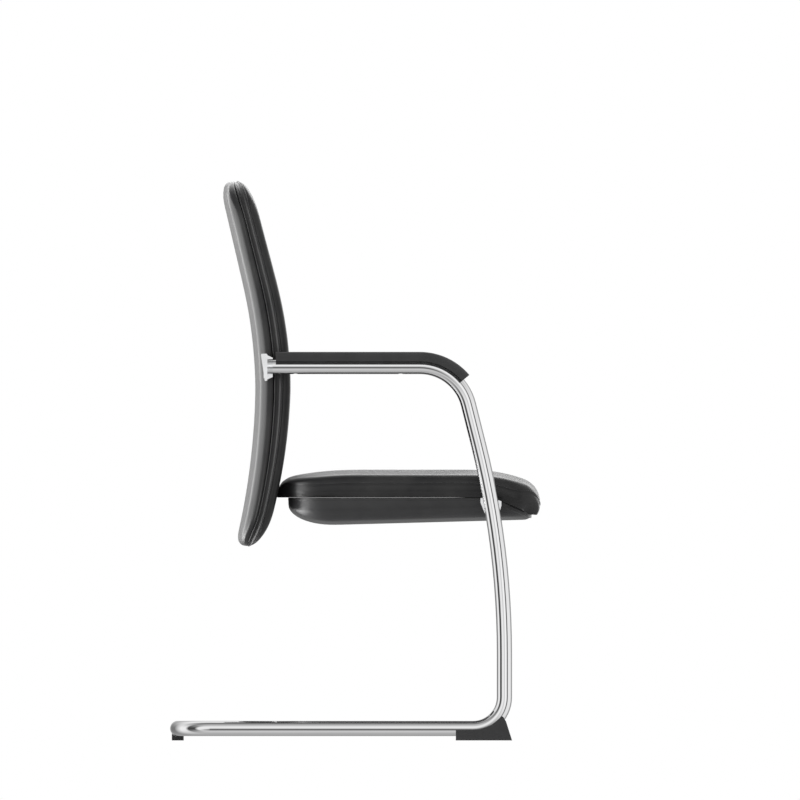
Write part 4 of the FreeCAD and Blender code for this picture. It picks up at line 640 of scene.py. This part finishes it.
def build_back_panel(back, finish):
    """The padded rear panel, a tray that wraps the moulded shell's edge."""
    edge = back_edge_line(back)
    rims = back_rims(back, edge)
    reach, inset = back.rear_side_reach, -back.rear_side_inset
    seam = back.seam + COVER_SEAM[0]
    margin = back.shell_margin / MM

    def hollow(i, step):
        x, z, _ = edge.inside(i, step * MM)
        return x, back_shell_face(back, x, z) + back.shell_room, z

    loops = [
        back_face_loop(back, edge, back_rear_face, reach, inset, step * MM)
        for step in reversed(FACE_STEPS)
    ]
    profile = (*COVER_PROFILE, (seam, COVER_SEAM[1]))
    loops += [side_loop(edge, rims, place, out * MM) for place, out in profile]
    rim_steps = (*RIM_STEPS, margin - HOLLOW_STEP)
    loops += [joint_loop(back, edge, rims, seam, 0, step) for step in rim_steps]
    loops += [ring(hollow, step) for step in (margin, margin + 1, *HIDDEN_STEPS)]
    points, faces = bridge(loops)
    piece = new_piece("back_rear_cover", points, turned(faces))
    settle(piece, back.rear_give)
    soften(piece)
    finish_piece(piece, finish, "back_leather", "back_rear_panel")


def build_back_piping(back, finish, thread):
    """Two beads of piping round the side, and a row of stitches beside the front one."""
    edge = back_edge_line(back)
    rims = back_rims(back, edge)
    outward = [Vector((n.x, 0, n.y)) for n in edge.normals]
    for name, place, radius, sunk in (
        ("back_piping_rear", back.rear_welt, back.rear_welt_radius, REAR_WELT_SUNK),
        ("back_piping_front", back.front_welt, back.front_welt_radius, FRONT_WELT_SUNK),
    ):
        piece = piping_bead(name, side_loop(edge, rims, place, -sunk), outward, radius)
        soften(piece)
        finish_piece(piece, finish, "back_leather")
    piece = stitches("back_stitching", side_loop(edge, rims, *STITCH_ROW), outward)
    finish_piece(piece, thread, "back_leather")


# The seat's form

# Places down the cushion's side, as shares of its height, and distances in under it in millimetres,
# with the distance over which its tucked edge levels out
SIDE_SHARES = (0.04, 0.075, 0.1, 0.125, 0.17, 0.25, 0.35, 0.45, 0.56, 0.67, 0.77, 0.86, 0.93, 0.975, 1.0)
UNDER_STEPS = (3, 9, 20, 45, 90, 150, 200)
UNDER_BLEND = 9

# The crease along the sides: its depth, its place down them and its half width, as shares of their
# height, and its depth at the front as a share of that at the sides
CREASE_DEPTH = 1.0 * MM
CREASE_PLACE = 0.1
CREASE_WIDTH = 0.07
FRONT_CREASE = 0.7

# How far the lower edge is tucked in, where that begins, and how sharply it goes on
TUCK = 6.5 * MM
TUCK_START = 0.45
TUCK_POWER = 1.5
REAR_TUCK = 1.2 * MM

# How far behind the rim the nose's underside is measured, the rear roll's height above the base at its
# end, and the most of its height that the crown takes behind the middle and a shoulder takes anywhere
NOSE_BACK = 8 * MM
REAR_LIFT = 0.8 * MM
CROWN_SHARE = 0.2
SHOULDER_SHARE = 0.4

# Where the stitches run, out from the rim and above it
STITCH_OUT = 0.1 * MM
STITCH_UP = 0.8 * MM


def seat_fall(seat, y):
    """Height of the top on the centre line, without its rounded ends."""
    z = seat.crest
    fall = -seat.fall_start - y
    if fall > 0:
        z += math.sqrt(seat.fall_radius ** 2 - fall ** 2) - seat.fall_radius
    if y > 0:
        z += math.sqrt(seat.rear_radius ** 2 - y ** 2) - seat.rear_radius
    return z


def seat_top(seat, x, y):
    """Height of the top, with its nose, its rear roll and its crown."""
    z = seat_fall(seat, y)
    nose = y + seat.front - seat.nose_upper
    if nose < 0:
        z = min(z, seat.nose_height + math.sqrt(max(seat.nose_upper ** 2 - nose ** 2, 0)))
    roll = y - seat.rear + seat.rear_roll
    if roll > 0:
        part = min(roll / seat.rear_roll, 1)
        z = min(z, seat.base + REAR_LIFT + seat.rear_height * math.sqrt(max(1 - part ** 2, 0)))
    height = z - seat.base
    crown = min(seat.crown, CROWN_SHARE * max(height, 0)) if y > 0 else seat.crown
    return z - crown * (x / seat.half_width) ** 2


def seat_underside(seat, y):
    return seat.base - seat.ramp_slope * max(-seat.ramp_start - y, 0)


def seat_width(seat, y):
    """Half of the cushion's width, with its corners rounded."""
    from_front, from_rear = max(y + seat.front, 0), max(seat.rear - y, 0)
    width = seat.half_width - seat.rear_narrowing * from_front / (seat.front + seat.rear)
    width -= rounding(from_front, seat.front_corner, seat.front_corner)
    return width - rounding(from_rear, seat.rear_corner, seat.rear_corner)


def seat_edge_line(seat):
    return Edge(
        lambda y: seat_width(seat, y), -seat.front, seat.rear, seat.front_corner, seat.rear_corner
    )


def seat_face_loop(seat, edge, step):
    """One loop of the seat's top, rounded over its shoulders."""
    def place(i):
        x, y, depth = edge.inside(i, step)
        height = seat_top(seat, x, y) - seat_underside(seat, y)
        shoulder = min(seat.shoulder, SHOULDER_SHARE * height)
        drop = edge.normals[i].x ** 2 * rounding(depth, seat.shoulder, max(shoulder, 0))
        return x, y, seat_top(seat, x, y) - drop

    return ring(place)


def seat_side_inset(seat, normal, part, height):
    """How far the side has drawn in, at a share of the way down from its widest line."""
    side = normal.x ** 2
    front = max(-normal.y, 0) ** 2
    rear = max(normal.y, 0) ** 2
    drop = min(part * height, seat.nose_lower)
    nose = seat.nose_lower - math.sqrt(seat.nose_lower ** 2 - drop ** 2)
    crease = CREASE_DEPTH * math.exp(-((part - CREASE_PLACE) / CREASE_WIDTH) ** 2)
    tuck = TUCK * eased((part - TUCK_START) / (1 - TUCK_START)) ** TUCK_POWER
    return side * (crease + tuck) + front * (nose + crease * FRONT_CREASE) + rear * REAR_TUCK * part


def build_seat_cushion(seat, finish, thread):
    """The padded seat with a waterfall front, a crease along its sides and a tucked lower edge."""
    edge = seat_edge_line(seat)
    loops = [seat_face_loop(seat, edge, step * MM) for step in reversed(FACE_STEPS)]
    rim = loops[-1]

    def side_place(i, part):
        under_at = rim[i].y + NOSE_BACK * max(-edge.normals[i].y, 0)
        height = max(rim[i].z - seat_underside(seat, under_at), 0)
        x, y = edge.outside(i, -seat_side_inset(seat, edge.normals[i], part, height))
        return x, y, rim[i].z - part * height

    def under_place(i, step):
        shrink = 1 - step * MM / edge.half_v
        x, y = lowest[i].x * shrink, edge.middle + (lowest[i].y - edge.middle) * shrink
        return x, y, between(lowest[i].z, seat_underside(seat, y), eased(step / UNDER_BLEND))

    loops += [ring(side_place, part) for part in SIDE_SHARES]
    lowest = loops[-1]
    loops += [ring(under_place, step) for step in UNDER_STEPS]
    piece = new_piece("seat_top_cushion", *bridge(loops))
    settle(piece, seat.give)
    soften(piece)
    finish_piece(piece, finish, "seat_leather", "seat_cushion")
    outward = [Vector((n.x, n.y, 0)) for n in edge.normals]
    line = [p + o * STITCH_OUT + Vector((0, 0, STITCH_UP)) for p, o in zip(rim, outward)]
    finish_piece(stitches("seat_stitching", line, outward), thread, "seat_leather")


# The tray's form

# Gap under the cushion, least depth of the floor below the rim, and how far the wall stands out
TRAY_GAP = 0.12 * MM
TRAY_DEPTH = 9 * MM
WALL_OUT = 0.15 * MM

# Places up the wall outside and inside, as shares of its height
OUTER_WALL = (0.3, 0.6)
INNER_WALL = (1.0, 0.97, 0.5, 0.1)

# The bead round the rim, drawn at this height: distances down from the rim in millimetres, and shares
# of how far the bead stands out
BEAD_HEIGHT = 5.5
BEAD_PROFILE = ((5.9, 0.1), (5.5, 0.3), (5.2, 0.8), (4.4, 1.0), (1.4, 1.0), (0.6, 0.7), (0.2, 0.1))


def tray_width(tray, y):
    width = tray.half_width
    width -= rounding(max(y + tray.front, 0), tray.corner, tray.corner)
    return width - rounding(max(tray.rear - y, 0), tray.corner, tray.corner)


def tray_floor(tray, x, y, lift):
    """Height of the tray's floor, or of a surface lifted inside it."""
    rear_start = tray.rear - tray.rear_roll
    z = tray.lowest + tray.slope * max(rear_start - y, 0)
    z += rounding(max(tray.rear - y, 0), tray.rear_roll, tray.rear_rise)
    z += rounding(max(y + tray.front, 0), tray.front_roll, tray.front_rise)
    return z + tray.crown * (x / tray.half_width) ** 2 + lift


def tray_rim(seat, y):
    """Height of the rim, just under the cushion."""
    return seat_underside(seat, y) - TRAY_GAP


def build_tray(tray, seat, finish):
    """The moulded tray with a bead round its rim."""
    edge = Edge(lambda y: tray_width(tray, y), -tray.front, tray.rear, tray.corner, tray.corner)

    def floor_place(i, step, inset, lift):
        x, y, depth = edge.inside(i, max(step, inset))
        side = edge.normals[i].x ** 2
        round_up = tray.edge - inset
        z = tray_floor(tray, x, y, lift) + side * rounding(depth - inset, round_up, round_up)
        return x, y, min(z, tray_rim(seat, y) - TRAY_DEPTH)

    def wall_place(i, part, out, foot):
        x, y = edge.outside(i, out)
        return x, y, between(foot[i].z, tray_rim(seat, y), part)

    def bead_place(i, down, out):
        x, y = edge.outside(i, tray.lip * out)
        return x, y, tray_rim(seat, y) - tray.lip_height * down / BEAD_HEIGHT

    loops = [ring(floor_place, step * MM, 0, 0) for step in reversed(FACE_STEPS)]
    foot = loops[-1]
    loops += [ring(wall_place, part, WALL_OUT, foot) for part in OUTER_WALL]
    loops += [ring(bead_place, down, out) for down, out in BEAD_PROFILE]
    foot = ring(floor_place, tray.wall, tray.wall, tray.wall)
    loops += [ring(wall_place, part, -tray.wall, foot) for part in INNER_WALL]
    loops += [
        ring(floor_place, step * MM + tray.wall, tray.wall, tray.wall) for step in FACE_STEPS[:-1]
    ]
    points, faces = bridge(loops)
    piece = new_piece("seat_tray", points, turned(faces))
    soften(piece)
    finish_piece(piece, finish, "tray_plastic", "seat_lower_shell")


# Materials

def node(tree, kind, **settings):
    """A new shader node with some of its settings."""
    made = tree.nodes.new(kind)
    for key, setting in settings.items():
        setattr(made, key, setting)
    return made


def new_finish(name):
    """An empty material with its shader and the piece's own coordinates."""
    finish = bpy.data.materials.new(name)
    finish.use_nodes = True
    tree = finish.node_tree
    shader = tree.nodes["Principled BSDF"]
    place = node(tree, "ShaderNodeTexCoord")
    return finish, tree, shader, place.outputs["Object"]


def texture(tree, kind, place, scale, **inputs):
    """A texture laid over the piece, its scale in features for each metre."""
    made = tree.nodes.new(kind)
    tree.links.new(place, made.inputs["Vector"])
    made.inputs["Scale"].default_value = scale
    for key, setting in inputs.items():
        made.inputs[key].default_value = setting
    return made


def blend_colours(tree, factor, low, high, first, second):
    """A colour that runs from one to the other as a texture's value rises."""
    ramp = node(tree, "ShaderNodeValToRGB")
    ramp.color_ramp.elements[0].position = low
    ramp.color_ramp.elements[1].position = high
    ramp.color_ramp.elements[0].color = (*first, 1)
    ramp.color_ramp.elements[1].color = (*second, 1)
    tree.links.new(factor, ramp.inputs["Fac"])
    return ramp.outputs["Color"]


def vary(tree, factor, low, high):
    """A number that runs between two values as a texture's value rises."""
    made = node(tree, "ShaderNodeMapRange")
    made.inputs["To Min"].default_value = low
    made.inputs["To Max"].default_value = high
    tree.links.new(factor, made.inputs["Value"])
    return made.outputs["Result"]


def bump(tree, height, strength, distance, under=None):
    """Relief from a texture's value, laid over any relief under it."""
    made = node(tree, "ShaderNodeBump")
    made.inputs["Strength"].default_value = strength
    made.inputs["Distance"].default_value = distance
    tree.links.new(height, made.inputs["Height"])
    if under is not None:
        tree.links.new(under, made.inputs["Normal"])
    return made.outputs["Normal"]


def dress(tree, shader, tone, roughness, relief):
    """Joins a colour, a roughness and a relief to the shader."""
    tree.links.new(tone, shader.inputs["Base Color"])
    if isinstance(roughness, float):
        shader.inputs["Roughness"].default_value = roughness
    else:
        tree.links.new(roughness, shader.inputs["Roughness"])
    tree.links.new(relief, shader.inputs["Normal"])


def tinted(base, factor):
    """A colour made lighter or darker."""
    return tuple(min(c * factor, 1) for c in base)


def leather_finish(finishes):
    """Black pebbled leather with soft creases, and slightly paler where it is rubbed."""
    finish, tree, shader, place = new_finish("black_leather")
    patches = texture(tree, "ShaderNodeTexNoise", place, 14, Detail=4, Roughness=0.6).outputs["Fac"]
    pebbles = texture(tree, "ShaderNodeTexVoronoi", place, 520)
    pebbles.feature = "DISTANCE_TO_EDGE"
    pores = texture(tree, "ShaderNodeTexNoise", place, 1300, Detail=2)
    creases = texture(tree, "ShaderNodeTexNoise", place, 34, Detail=5, Roughness=0.55, Distortion=1.2)
    tone = blend_colours(tree, patches, 0.35, 0.75, finishes.leather, finishes.leather_worn)
    gloss = vary(tree, patches, finishes.leather_gloss - 0.05, finishes.leather_gloss + 0.07)
    relief = bump(tree, creases.outputs["Fac"], strength=0.1, distance=1.2 * MM)
    relief = bump(tree, pebbles.outputs["Distance"], strength=0.22, distance=0.25 * MM, under=relief)
    relief = bump(tree, pores.outputs["Fac"], strength=0.08, distance=0.1 * MM, under=relief)
    dress(tree, shader, tone, gloss, relief)
    shader.inputs["IOR"].default_value = 1.5
    shader.inputs["Specular IOR Level"].default_value = 0.3
    shader.inputs["Coat Weight"].default_value = 0.06
    shader.inputs["Coat Roughness"].default_value = 0.22
    return finish


def thread_finish(finishes):
    """Twisted black thread, painted lighter on the ridges of its twist as a painted highlight."""
    finish, tree, shader, place = new_finish("black_thread")
    wave = texture(tree, "ShaderNodeTexWave", place, 900)
    wave.bands_direction = "DIAGONAL"
    twist = wave.outputs["Fac"]
    # Painted highlight: the thread is painted lighter where the twist's relief stands highest.
    tone = blend_colours(tree, twist, 0.2, 0.8, finishes.thread, tinted(finishes.thread, 2.2))
    dress(tree, shader, tone, 0.6, bump(tree, twist, strength=0.5, distance=0.1 * MM))
    return finish


def moulded_finish(finishes, name, base, roughness, grain):
    """Moulded black plastic with a fine spark-eroded texture and faint flow marks."""
    finish, tree, shader, place = new_finish(name)
    grit = texture(tree, "ShaderNodeTexNoise", place, grain, Detail=3, Roughness=0.65).outputs["Fac"]
    flow = texture(tree, "ShaderNodeTexNoise", place, 22, Detail=3, Distortion=0.8).outputs["Fac"]
    tone = blend_colours(tree, flow, 0.3, 0.8, base, tinted(base, 1.5))
    gloss = vary(tree, flow, roughness - 0.05, roughness + 0.06)
    dress(tree, shader, tone, gloss, bump(tree, grit, strength=0.3, distance=0.12 * MM))
    shader.inputs["IOR"].default_value = 1.49
    return finish


def metal_finish(name, base, duller, marks, skin, gloss, relief):
    """Bare or plated metal with a skin of its own, and duller where it is marked."""
    finish, tree, shader, place = new_finish(name)
    marked = texture(tree, "ShaderNodeTexNoise", place, marks["scale"], **marks["form"]).outputs["Fac"]
    uneven = texture(tree, "ShaderNodeTexNoise", place, skin["scale"], **skin["form"]).outputs["Fac"]
    tone = blend_colours(tree, marked, marks["from"], 0.8, base, duller)
    dress(tree, shader, tone, vary(tree, marked, *gloss), bump(tree, uneven, *relief))
    shader.inputs["Metallic"].default_value = 1
    return finish


def chrome_finish(finishes):
    """Bright chrome plate with a faint ripple and finger haze."""
    return metal_finish(
        "bright_chrome", finishes.chrome, tinted(finishes.chrome, 0.97),
        marks={"scale": 26, "from": 0.3, "form": {"Detail": 5, "Roughness": 0.6}},
        skin={"scale": 30, "form": {"Detail": 1}},
        gloss=(0.01, 0.03), relief=(0.01, 0.2 * MM),
    )


def casting_finish(finishes):
    """Plated casting, softer than the tube, with a slightly uneven skin."""
    return metal_finish(
        "plated_casting", finishes.casting, tinted(finishes.casting, 0.9),
        marks={"scale": 40, "from": 0.3, "form": {"Detail": 4}},
        skin={"scale": 160, "form": {"Detail": 4}},
        gloss=(0.14, 0.24), relief=(0.08, 0.2 * MM),
    )


def steel_finish(finishes):
    """Zinc-plated steel with cloudy, slightly yellowed patches."""
    yellowed = tuple(c * f for c, f in zip(finishes.steel, (0.9, 0.86, 0.74)))
    clouds = {"scale": 120, "from": 0.4, "form": {"Detail": 5}}
    return metal_finish(
        "zinc_steel", finishes.steel, yellowed, marks=clouds, skin=clouds,
        gloss=(0.26, 0.42), relief=(0.1, 0.1 * MM),
    )


def plywood_finish(finishes):
    """Birch plywood: long grain on its faces and ply lines on its edges."""
    finish, tree, shader, place = new_finish("birch_plywood")
    stretch = node(tree, "ShaderNodeMapping")
    stretch.inputs["Scale"].default_value = (60, 5, 60)
    tree.links.new(place, stretch.inputs["Vector"])
    along = stretch.outputs["Vector"]
    grain = texture(tree, "ShaderNodeTexNoise", along, 3, Detail=6, Distortion=0.6).outputs["Fac"]
    plies = texture(tree, "ShaderNodeTexWave", place, 110)
    plies.bands_direction = "Z"
    lines = blend_colours(tree, plies.outputs["Fac"], 0.3, 0.7, (0.55, 0.5, 0.45), (1, 1, 1))
    figure = blend_colours(tree, grain, 0.3, 0.75, finishes.plywood, tinted(finishes.plywood, 0.62))
    layered = node(tree, "ShaderNodeMix", data_type="RGBA", blend_type="MULTIPLY")
    layered.inputs["Factor"].default_value = 0.4
    tree.links.new(figure, layered.inputs["A"])
    tree.links.new(lines, layered.inputs["B"])
    relief = bump(tree, grain, strength=0.2, distance=0.2 * MM)
    dress(tree, shader, layered.outputs["Result"], 0.6, relief)
    return finish


def floor_finish():
    """Plain pale studio floor."""
    finish, tree, shader, place = new_finish("pale_floor")
    tone = texture(tree, "ShaderNodeTexNoise", place, 1.5, Detail=2)
    tree.links.new(
        blend_colours(tree, tone.outputs["Fac"], 0.2, 0.8, (0.86, 0.86, 0.86), (0.89, 0.89, 0.89)),
        shader.inputs["Base Color"],
    )
    shader.inputs["Roughness"].default_value = 0.8
    shader.inputs["Specular IOR Level"].default_value = 0.2
    return finish


def finish_named(name, make):
    """The material of that name, made the first time that it is asked for."""
    return bpy.data.materials.get(name) or make(bpy.context.scene.chair_finishes)


def leather():
    return finish_named("black_leather", leather_finish)


def thread():
    return finish_named("black_thread", thread_finish)


# Stage

# Softboxes: where each stands and its size, in metres, the stage's name for its power, and the pieces
# that it alone lights
SOFTBOXES = {
    "rear_softbox": ((-1.2, 2.6, 0.8), (2.2, 3), "rear_box", "padded_pieces"),
    "rear_rim_softbox": ((1.5, 2.6, 0.8), (3.6, 3), "rear_rim_box", "padded_pieces"),
    "roof_softbox": ((2.3, 0, 2.6), (3.6, 2.6), "roof_box", "padded_pieces"),
    "front_softbox": ((2.8, -2.2, 0.9), (3, 2.5), "front_box", "padded_pieces"),
    "bracket_softbox": ((-4, 0.2, 0.9), (2.2, 1.6), "bracket_box", "castings"),
    "low_softbox": ((0.4, 2.8, -1.3), (4, 2), "low_box", "padded_pieces"),
}
SOFTBOX_AIM = Vector((0, 0, 0.6))

# The broad light over the floor
TOP_LIGHT_PLACE = (-0.6, -0.5, 2.8)
TOP_LIGHT_SIZE = 3
TOP_LIGHT_AIM = Vector((0, 0, 0.4))

CAMERA_DISTANCE = 4
CAMERA_REACH = 20

# Panels of the studio that the bright metal mirrors, on each side of the view: the degrees away from
# the camera where a panel begins and ends, and its brightness. They run softly into each other.
STUDIO = {
    "front": ((0, 2, 0.62), (10, 32, 1.0), (40, 46, 0.04), (58, 106, 0.9), (122, 180, 0.34)),
    "rear": (
        (0, 2, 0.62), (12, 34, 0.92), (45, 66, 0.06), (76, 94, 0.96), (125, 150, 0.2), (170, 180, 0.42),
    ),
    "up": (
        (0, 2, 0.62), (8, 26, 0.9), (42, 56, 0.56), (72, 88, 0.18), (108, 128, 0.95), (146, 180, 0.55),
    ),
    "down": ((0, 2, 0.62), (14, 22, 0.08), (36, 58, 0.62), (72, 100, 0.46), (120, 180, 0.36)),
}


def studio_ramp(tree, turn, panels):
    """Brightness along one side of the studio."""
    stops = [(edge, level) for begin, end, level in panels for edge in (begin, end)]
    made = node(tree, "ShaderNodeValToRGB")
    elements = made.color_ramp.elements
    while len(elements) > 1:
        elements.remove(elements[-1])
    for k, (degrees, value) in enumerate(stops):
        stop = elements[0] if k == 0 else elements.new(degrees / 180)
        stop.position = degrees / 180
        stop.color = (value, value, value, 1)
    tree.links.new(turn, made.inputs["Fac"])
    return made.outputs["Color"]


def calculate(tree, operation, first, second=None):
    made = node(tree, "ShaderNodeMath", operation=operation)
    for socket, given in zip(made.inputs, (first, second)):
        if isinstance(given, (int, float)):
            socket.default_value = given
        elif given is not None:
            tree.links.new(given, socket)
    return made.outputs[0]


def mix_light(tree, factor, first, second):
    made = node(tree, "ShaderNodeMix", data_type="RGBA")
    tree.links.new(factor, made.inputs["Factor"])
    tree.links.new(first, made.inputs["A"])
    tree.links.new(second, made.inputs["B"])
    return made.outputs["Result"]


def build_studio_light():
    """A white studio whose walls have the soft bands that the bright metal mirrors."""
    world = bpy.data.worlds.new("studio")
    bpy.context.scene.world = world
    world.use_nodes = True
    tree = world.node_tree
    background = tree.nodes["Background"]
    away = node(tree, "ShaderNodeTexCoord")
    parts = node(tree, "ShaderNodeSeparateXYZ")
    tree.links.new(away.outputs["Generated"], parts.inputs["Vector"])
    x, y, z = (parts.outputs[k] for k in "XYZ")
    angle = calculate(tree, "ARCCOSINE", calculate(tree, "MULTIPLY", x, -1))
    turn = calculate(tree, "DIVIDE", angle, math.pi)
    ramps = {name: studio_ramp(tree, turn, panels) for name, panels in STUDIO.items()}
    level = mix_light(tree, calculate(tree, "LESS_THAN", y, 0), ramps["rear"], ramps["front"])
    upright = mix_light(tree, calculate(tree, "LESS_THAN", z, 0), ramps["up"], ramps["down"])
    y_square, z_square = calculate(tree, "MULTIPLY", y, y), calculate(tree, "MULTIPLY", z, z)
    whole = calculate(tree, "ADD", calculate(tree, "ADD", y_square, z_square), 1e-6)
    walls = mix_light(tree, calculate(tree, "DIVIDE", z_square, whole), level, upright)
    seen = node(tree, "ShaderNodeLightPath")
    white = node(tree, "ShaderNodeRGB")
    white.outputs[0].default_value = (1, 1, 1, 1)
    tree.links.new(
        mix_light(tree, seen.outputs["Is Camera Ray"], walls, white.outputs[0]),
        background.inputs["Color"],
    )
    background.inputs["Strength"].default_value = 1


def build_light(name, shape, place, aim, energy):
    """A broad light that the camera doesn't see, turned to a point."""
    light = bpy.data.lights.new(name, "AREA")
    light.shape = shape
    light.energy = energy
    lamp = bpy.data.objects.new(name, light)
    lamp.location = place
    lamp.rotation_euler = (aim - lamp.location).to_track_quat("-Z", "Y").to_euler()
    lamp.visible_camera = False
    bpy.context.scene.collection.objects.link(lamp)
    return lamp


def build_top_light(stage):
    lamp = build_light("top_light", "DISK", TOP_LIGHT_PLACE, TOP_LIGHT_AIM, stage.top_light)
    lamp.data.size = TOP_LIGHT_SIZE
    lamp.visible_glossy = False


def build_softboxes(stage):
    """Broad lights, each for some of the pieces alone."""
    for name, (place, size, strength, pieces) in SOFTBOXES.items():
        lamp = build_light(name, "RECTANGLE", place, SOFTBOX_AIM, getattr(stage, strength))
        lamp.data.size, lamp.data.size_y = size
        lamp.light_linking.receiver_collection = lit(pieces)


def build_floor(stage):
    half = stage.floor / 2
    corners = [(-half, -half, 0), (half, -half, 0), (half, half, 0), (-half, half, 0)]
    floor = new_piece("floor", corners, [(0, 1, 2, 3)])
    floor.data.materials.append(floor_finish())
    floor.visible_glossy = False
    floor.visible_shadow = False


def build_camera(stage):
    """A view from the chair's right side, square to it, as through a very long lens."""
    data = bpy.data.cameras.new("side_view")
    data.type = "ORTHO"
    data.ortho_scale = stage.view_width
    data.clip_end = CAMERA_REACH
    camera = bpy.data.objects.new("side_view", data)
    camera.location = (-CAMERA_DISTANCE, stage.view_y, stage.view_z)
    camera.rotation_euler = (math.radians(90), 0, math.radians(-90))
    bpy.context.scene.collection.objects.link(camera)
    bpy.context.scene.camera = camera


# Operators

class CHAIR_OT_frame_finish(Operator):
    """Chrome plate on the bent tube, and plain steel on its inner sleeve"""

    bl_idname = "chair.frame_finish"
    bl_label = "Tube frame"

    def execute(self, context):
        refinish(finish_named("bright_chrome", chrome_finish), "frame_left", "frame_right")
        refinish(finish_named("zinc_steel", steel_finish), "frame_joint_sleeve")
        return {"FINISHED"}


class CHAIR_OT_bracket_finish(Operator):
    """Plated skin on the cast brackets at the back and the seat"""

    bl_idname = "chair.bracket_finish"
    bl_label = "Brackets"

    def execute(self, context):
        names = ("back_bracket_left", "back_bracket_right", "seat_bracket_left", "seat_bracket_right")
        refinish(finish_named("plated_casting", casting_finish), *names)
        for name in names:
            lit("castings").objects.link(NODES[name])
        return {"FINISHED"}


class CHAIR_OT_fastener_finish(Operator):
    """Zinc plate on the screws, nuts, cross beam and rails"""

    bl_idname = "chair.fastener_finish"
    bl_label = "Fasteners and seat structure"

    def execute(self, context):
        refinish(
            finish_named("zinc_steel", steel_finish),
            "glide_screws", "armpad_screws", "bracket_set_screws", "back_bracket_screws", "back_nuts",
            "seat_screws", "seat_nuts", "tray_screws", "seat_beam", "seat_rail_left", "seat_rail_right",
        )
        refinish(finish_named("birch_plywood", plywood_finish), "seat_board")
        return {"FINISHED"}


class CHAIR_OT_moulded_finish(Operator):
    """Textured plastic on the glides, the inner shell and its studs"""

    bl_idname = "chair.moulded_finish"
    bl_label = "Glides and inner shell"

    def execute(self, context):
        finishes = context.scene.chair_finishes
        glide = moulded_finish(finishes, "glide_plastic", finishes.moulded, 0.42, 1500)
        refinish(
            glide, "front_glide_left", "front_glide_right", "rear_glide_left", "rear_glide_right",
            "back_panel_studs",
        )
        for name in ("front_glide_left", "front_glide_right"):
            lit("padded_pieces").objects.link(NODES[name])
        refinish(moulded_finish(finishes, "shell_plastic", finishes.moulded, 0.55, 800), "back_shell")
        return {"FINISHED"}


class CHAIR_OT_arm_pads(Operator):
    """Soft-skinned arm pads"""

    bl_idname = "chair.arm_pads"
    bl_label = "Arm pads"

    def execute(self, context):
        finishes = context.scene.chair_finishes
        skin = moulded_finish(finishes, "pad_skin", finishes.pad, 0.46, 1100)
        refinish(skin, "armpad_left", "armpad_right")
        return {"FINISHED"}


class CHAIR_OT_back_cushion(Operator):
    """Padded front of the back"""

    bl_idname = "chair.back_cushion"
    bl_label = "Back cushion"

    def execute(self, context):
        build_back_cushion(context.scene.chair_back, leather())
        return {"FINISHED"}


class CHAIR_OT_back_panel(Operator):
    """Padded rear of the back"""

    bl_idname = "chair.back_panel"
    bl_label = "Back rear panel"

    def execute(self, context):
        build_back_panel(context.scene.chair_back, leather())
        return {"FINISHED"}


class CHAIR_OT_back_piping(Operator):
    """Piping and stitching round the back"""

    bl_idname = "chair.back_piping"
    bl_label = "Back piping"

    def execute(self, context):
        build_back_piping(context.scene.chair_back, leather(), thread())
        return {"FINISHED"}


class CHAIR_OT_seat_cushion(Operator):
    """Padded seat with its stitching"""

    bl_idname = "chair.seat_cushion"
    bl_label = "Seat cushion"

    def execute(self, context):
        build_seat_cushion(context.scene.chair_seat, leather(), thread())
        return {"FINISHED"}


class CHAIR_OT_seat_tray(Operator):
    """Moulded tray under the seat"""

    bl_idname = "chair.seat_tray"
    bl_label = "Seat tray"

    def execute(self, context):
        scene = context.scene
        skin = moulded_finish(scene.chair_finishes, "tray_plastic", scene.chair_finishes.moulded, 0.4, 900)
        build_tray(scene.chair_tray, scene.chair_seat, skin)
        return {"FINISHED"}


class CHAIR_OT_stage(Operator):
    """Floor, studio light and camera"""

    bl_idname = "chair.stage"
    bl_label = "Stage"

    def execute(self, context):
        stage = context.scene.chair_stage
        context.scene.view_settings.view_transform = "Standard"
        build_studio_light()
        build_top_light(stage)
        build_softboxes(stage)
        build_floor(stage)
        build_camera(stage)
        return {"FINISHED"}


class CHAIR_PT_panel(Panel):
    """The chair's steps, in the order in which they are made"""

    bl_idname = "CHAIR_PT_panel"
    bl_label = "Cantilever Chair"
    bl_space_type = "VIEW_3D"
    bl_region_type = "UI"
    bl_category = "Chair"

    def draw(self, context):
        for step in STEPS:
            self.layout.operator(step.bl_idname)


GROUPS = {
    "chair_back": BackSizes,
    "chair_seat": SeatSizes,
    "chair_tray": TraySizes,
    "chair_finishes": Finishes,
    "chair_stage": StageSizes,
}
STEPS = (
    CHAIR_OT_stage, CHAIR_OT_frame_finish, CHAIR_OT_bracket_finish, CHAIR_OT_fastener_finish,
    CHAIR_OT_moulded_finish, CHAIR_OT_arm_pads, CHAIR_OT_back_cushion, CHAIR_OT_back_panel,
    CHAIR_OT_back_piping, CHAIR_OT_seat_cushion, CHAIR_OT_seat_tray,
)


def register():
    for group in GROUPS.values():
        bpy.utils.register_class(group)
    for name, group in GROUPS.items():
        setattr(bpy.types.Scene, name, PointerProperty(type=group))
    for step in STEPS:
        bpy.utils.register_class(step)
    bpy.utils.register_class(CHAIR_PT_panel)


def unregister():
    bpy.utils.unregister_class(CHAIR_PT_panel)
    for step in reversed(STEPS):
        bpy.utils.unregister_class(step)
    for name in GROUPS:
        delattr(bpy.types.Scene, name)
    for group in reversed(GROUPS.values()):
        bpy.utils.unregister_class(group)


def main():
    register()
    bpy.ops.chair.stage()
    bpy.ops.chair.frame_finish()
    bpy.ops.chair.bracket_finish()
    bpy.ops.chair.fastener_finish()
    bpy.ops.chair.moulded_finish()
    bpy.ops.chair.arm_pads()
    bpy.ops.chair.back_cushion()
    bpy.ops.chair.back_panel()
    bpy.ops.chair.back_piping()
    bpy.ops.chair.seat_cushion()
    bpy.ops.chair.seat_tray()


if __name__ == "__main__":
    main()
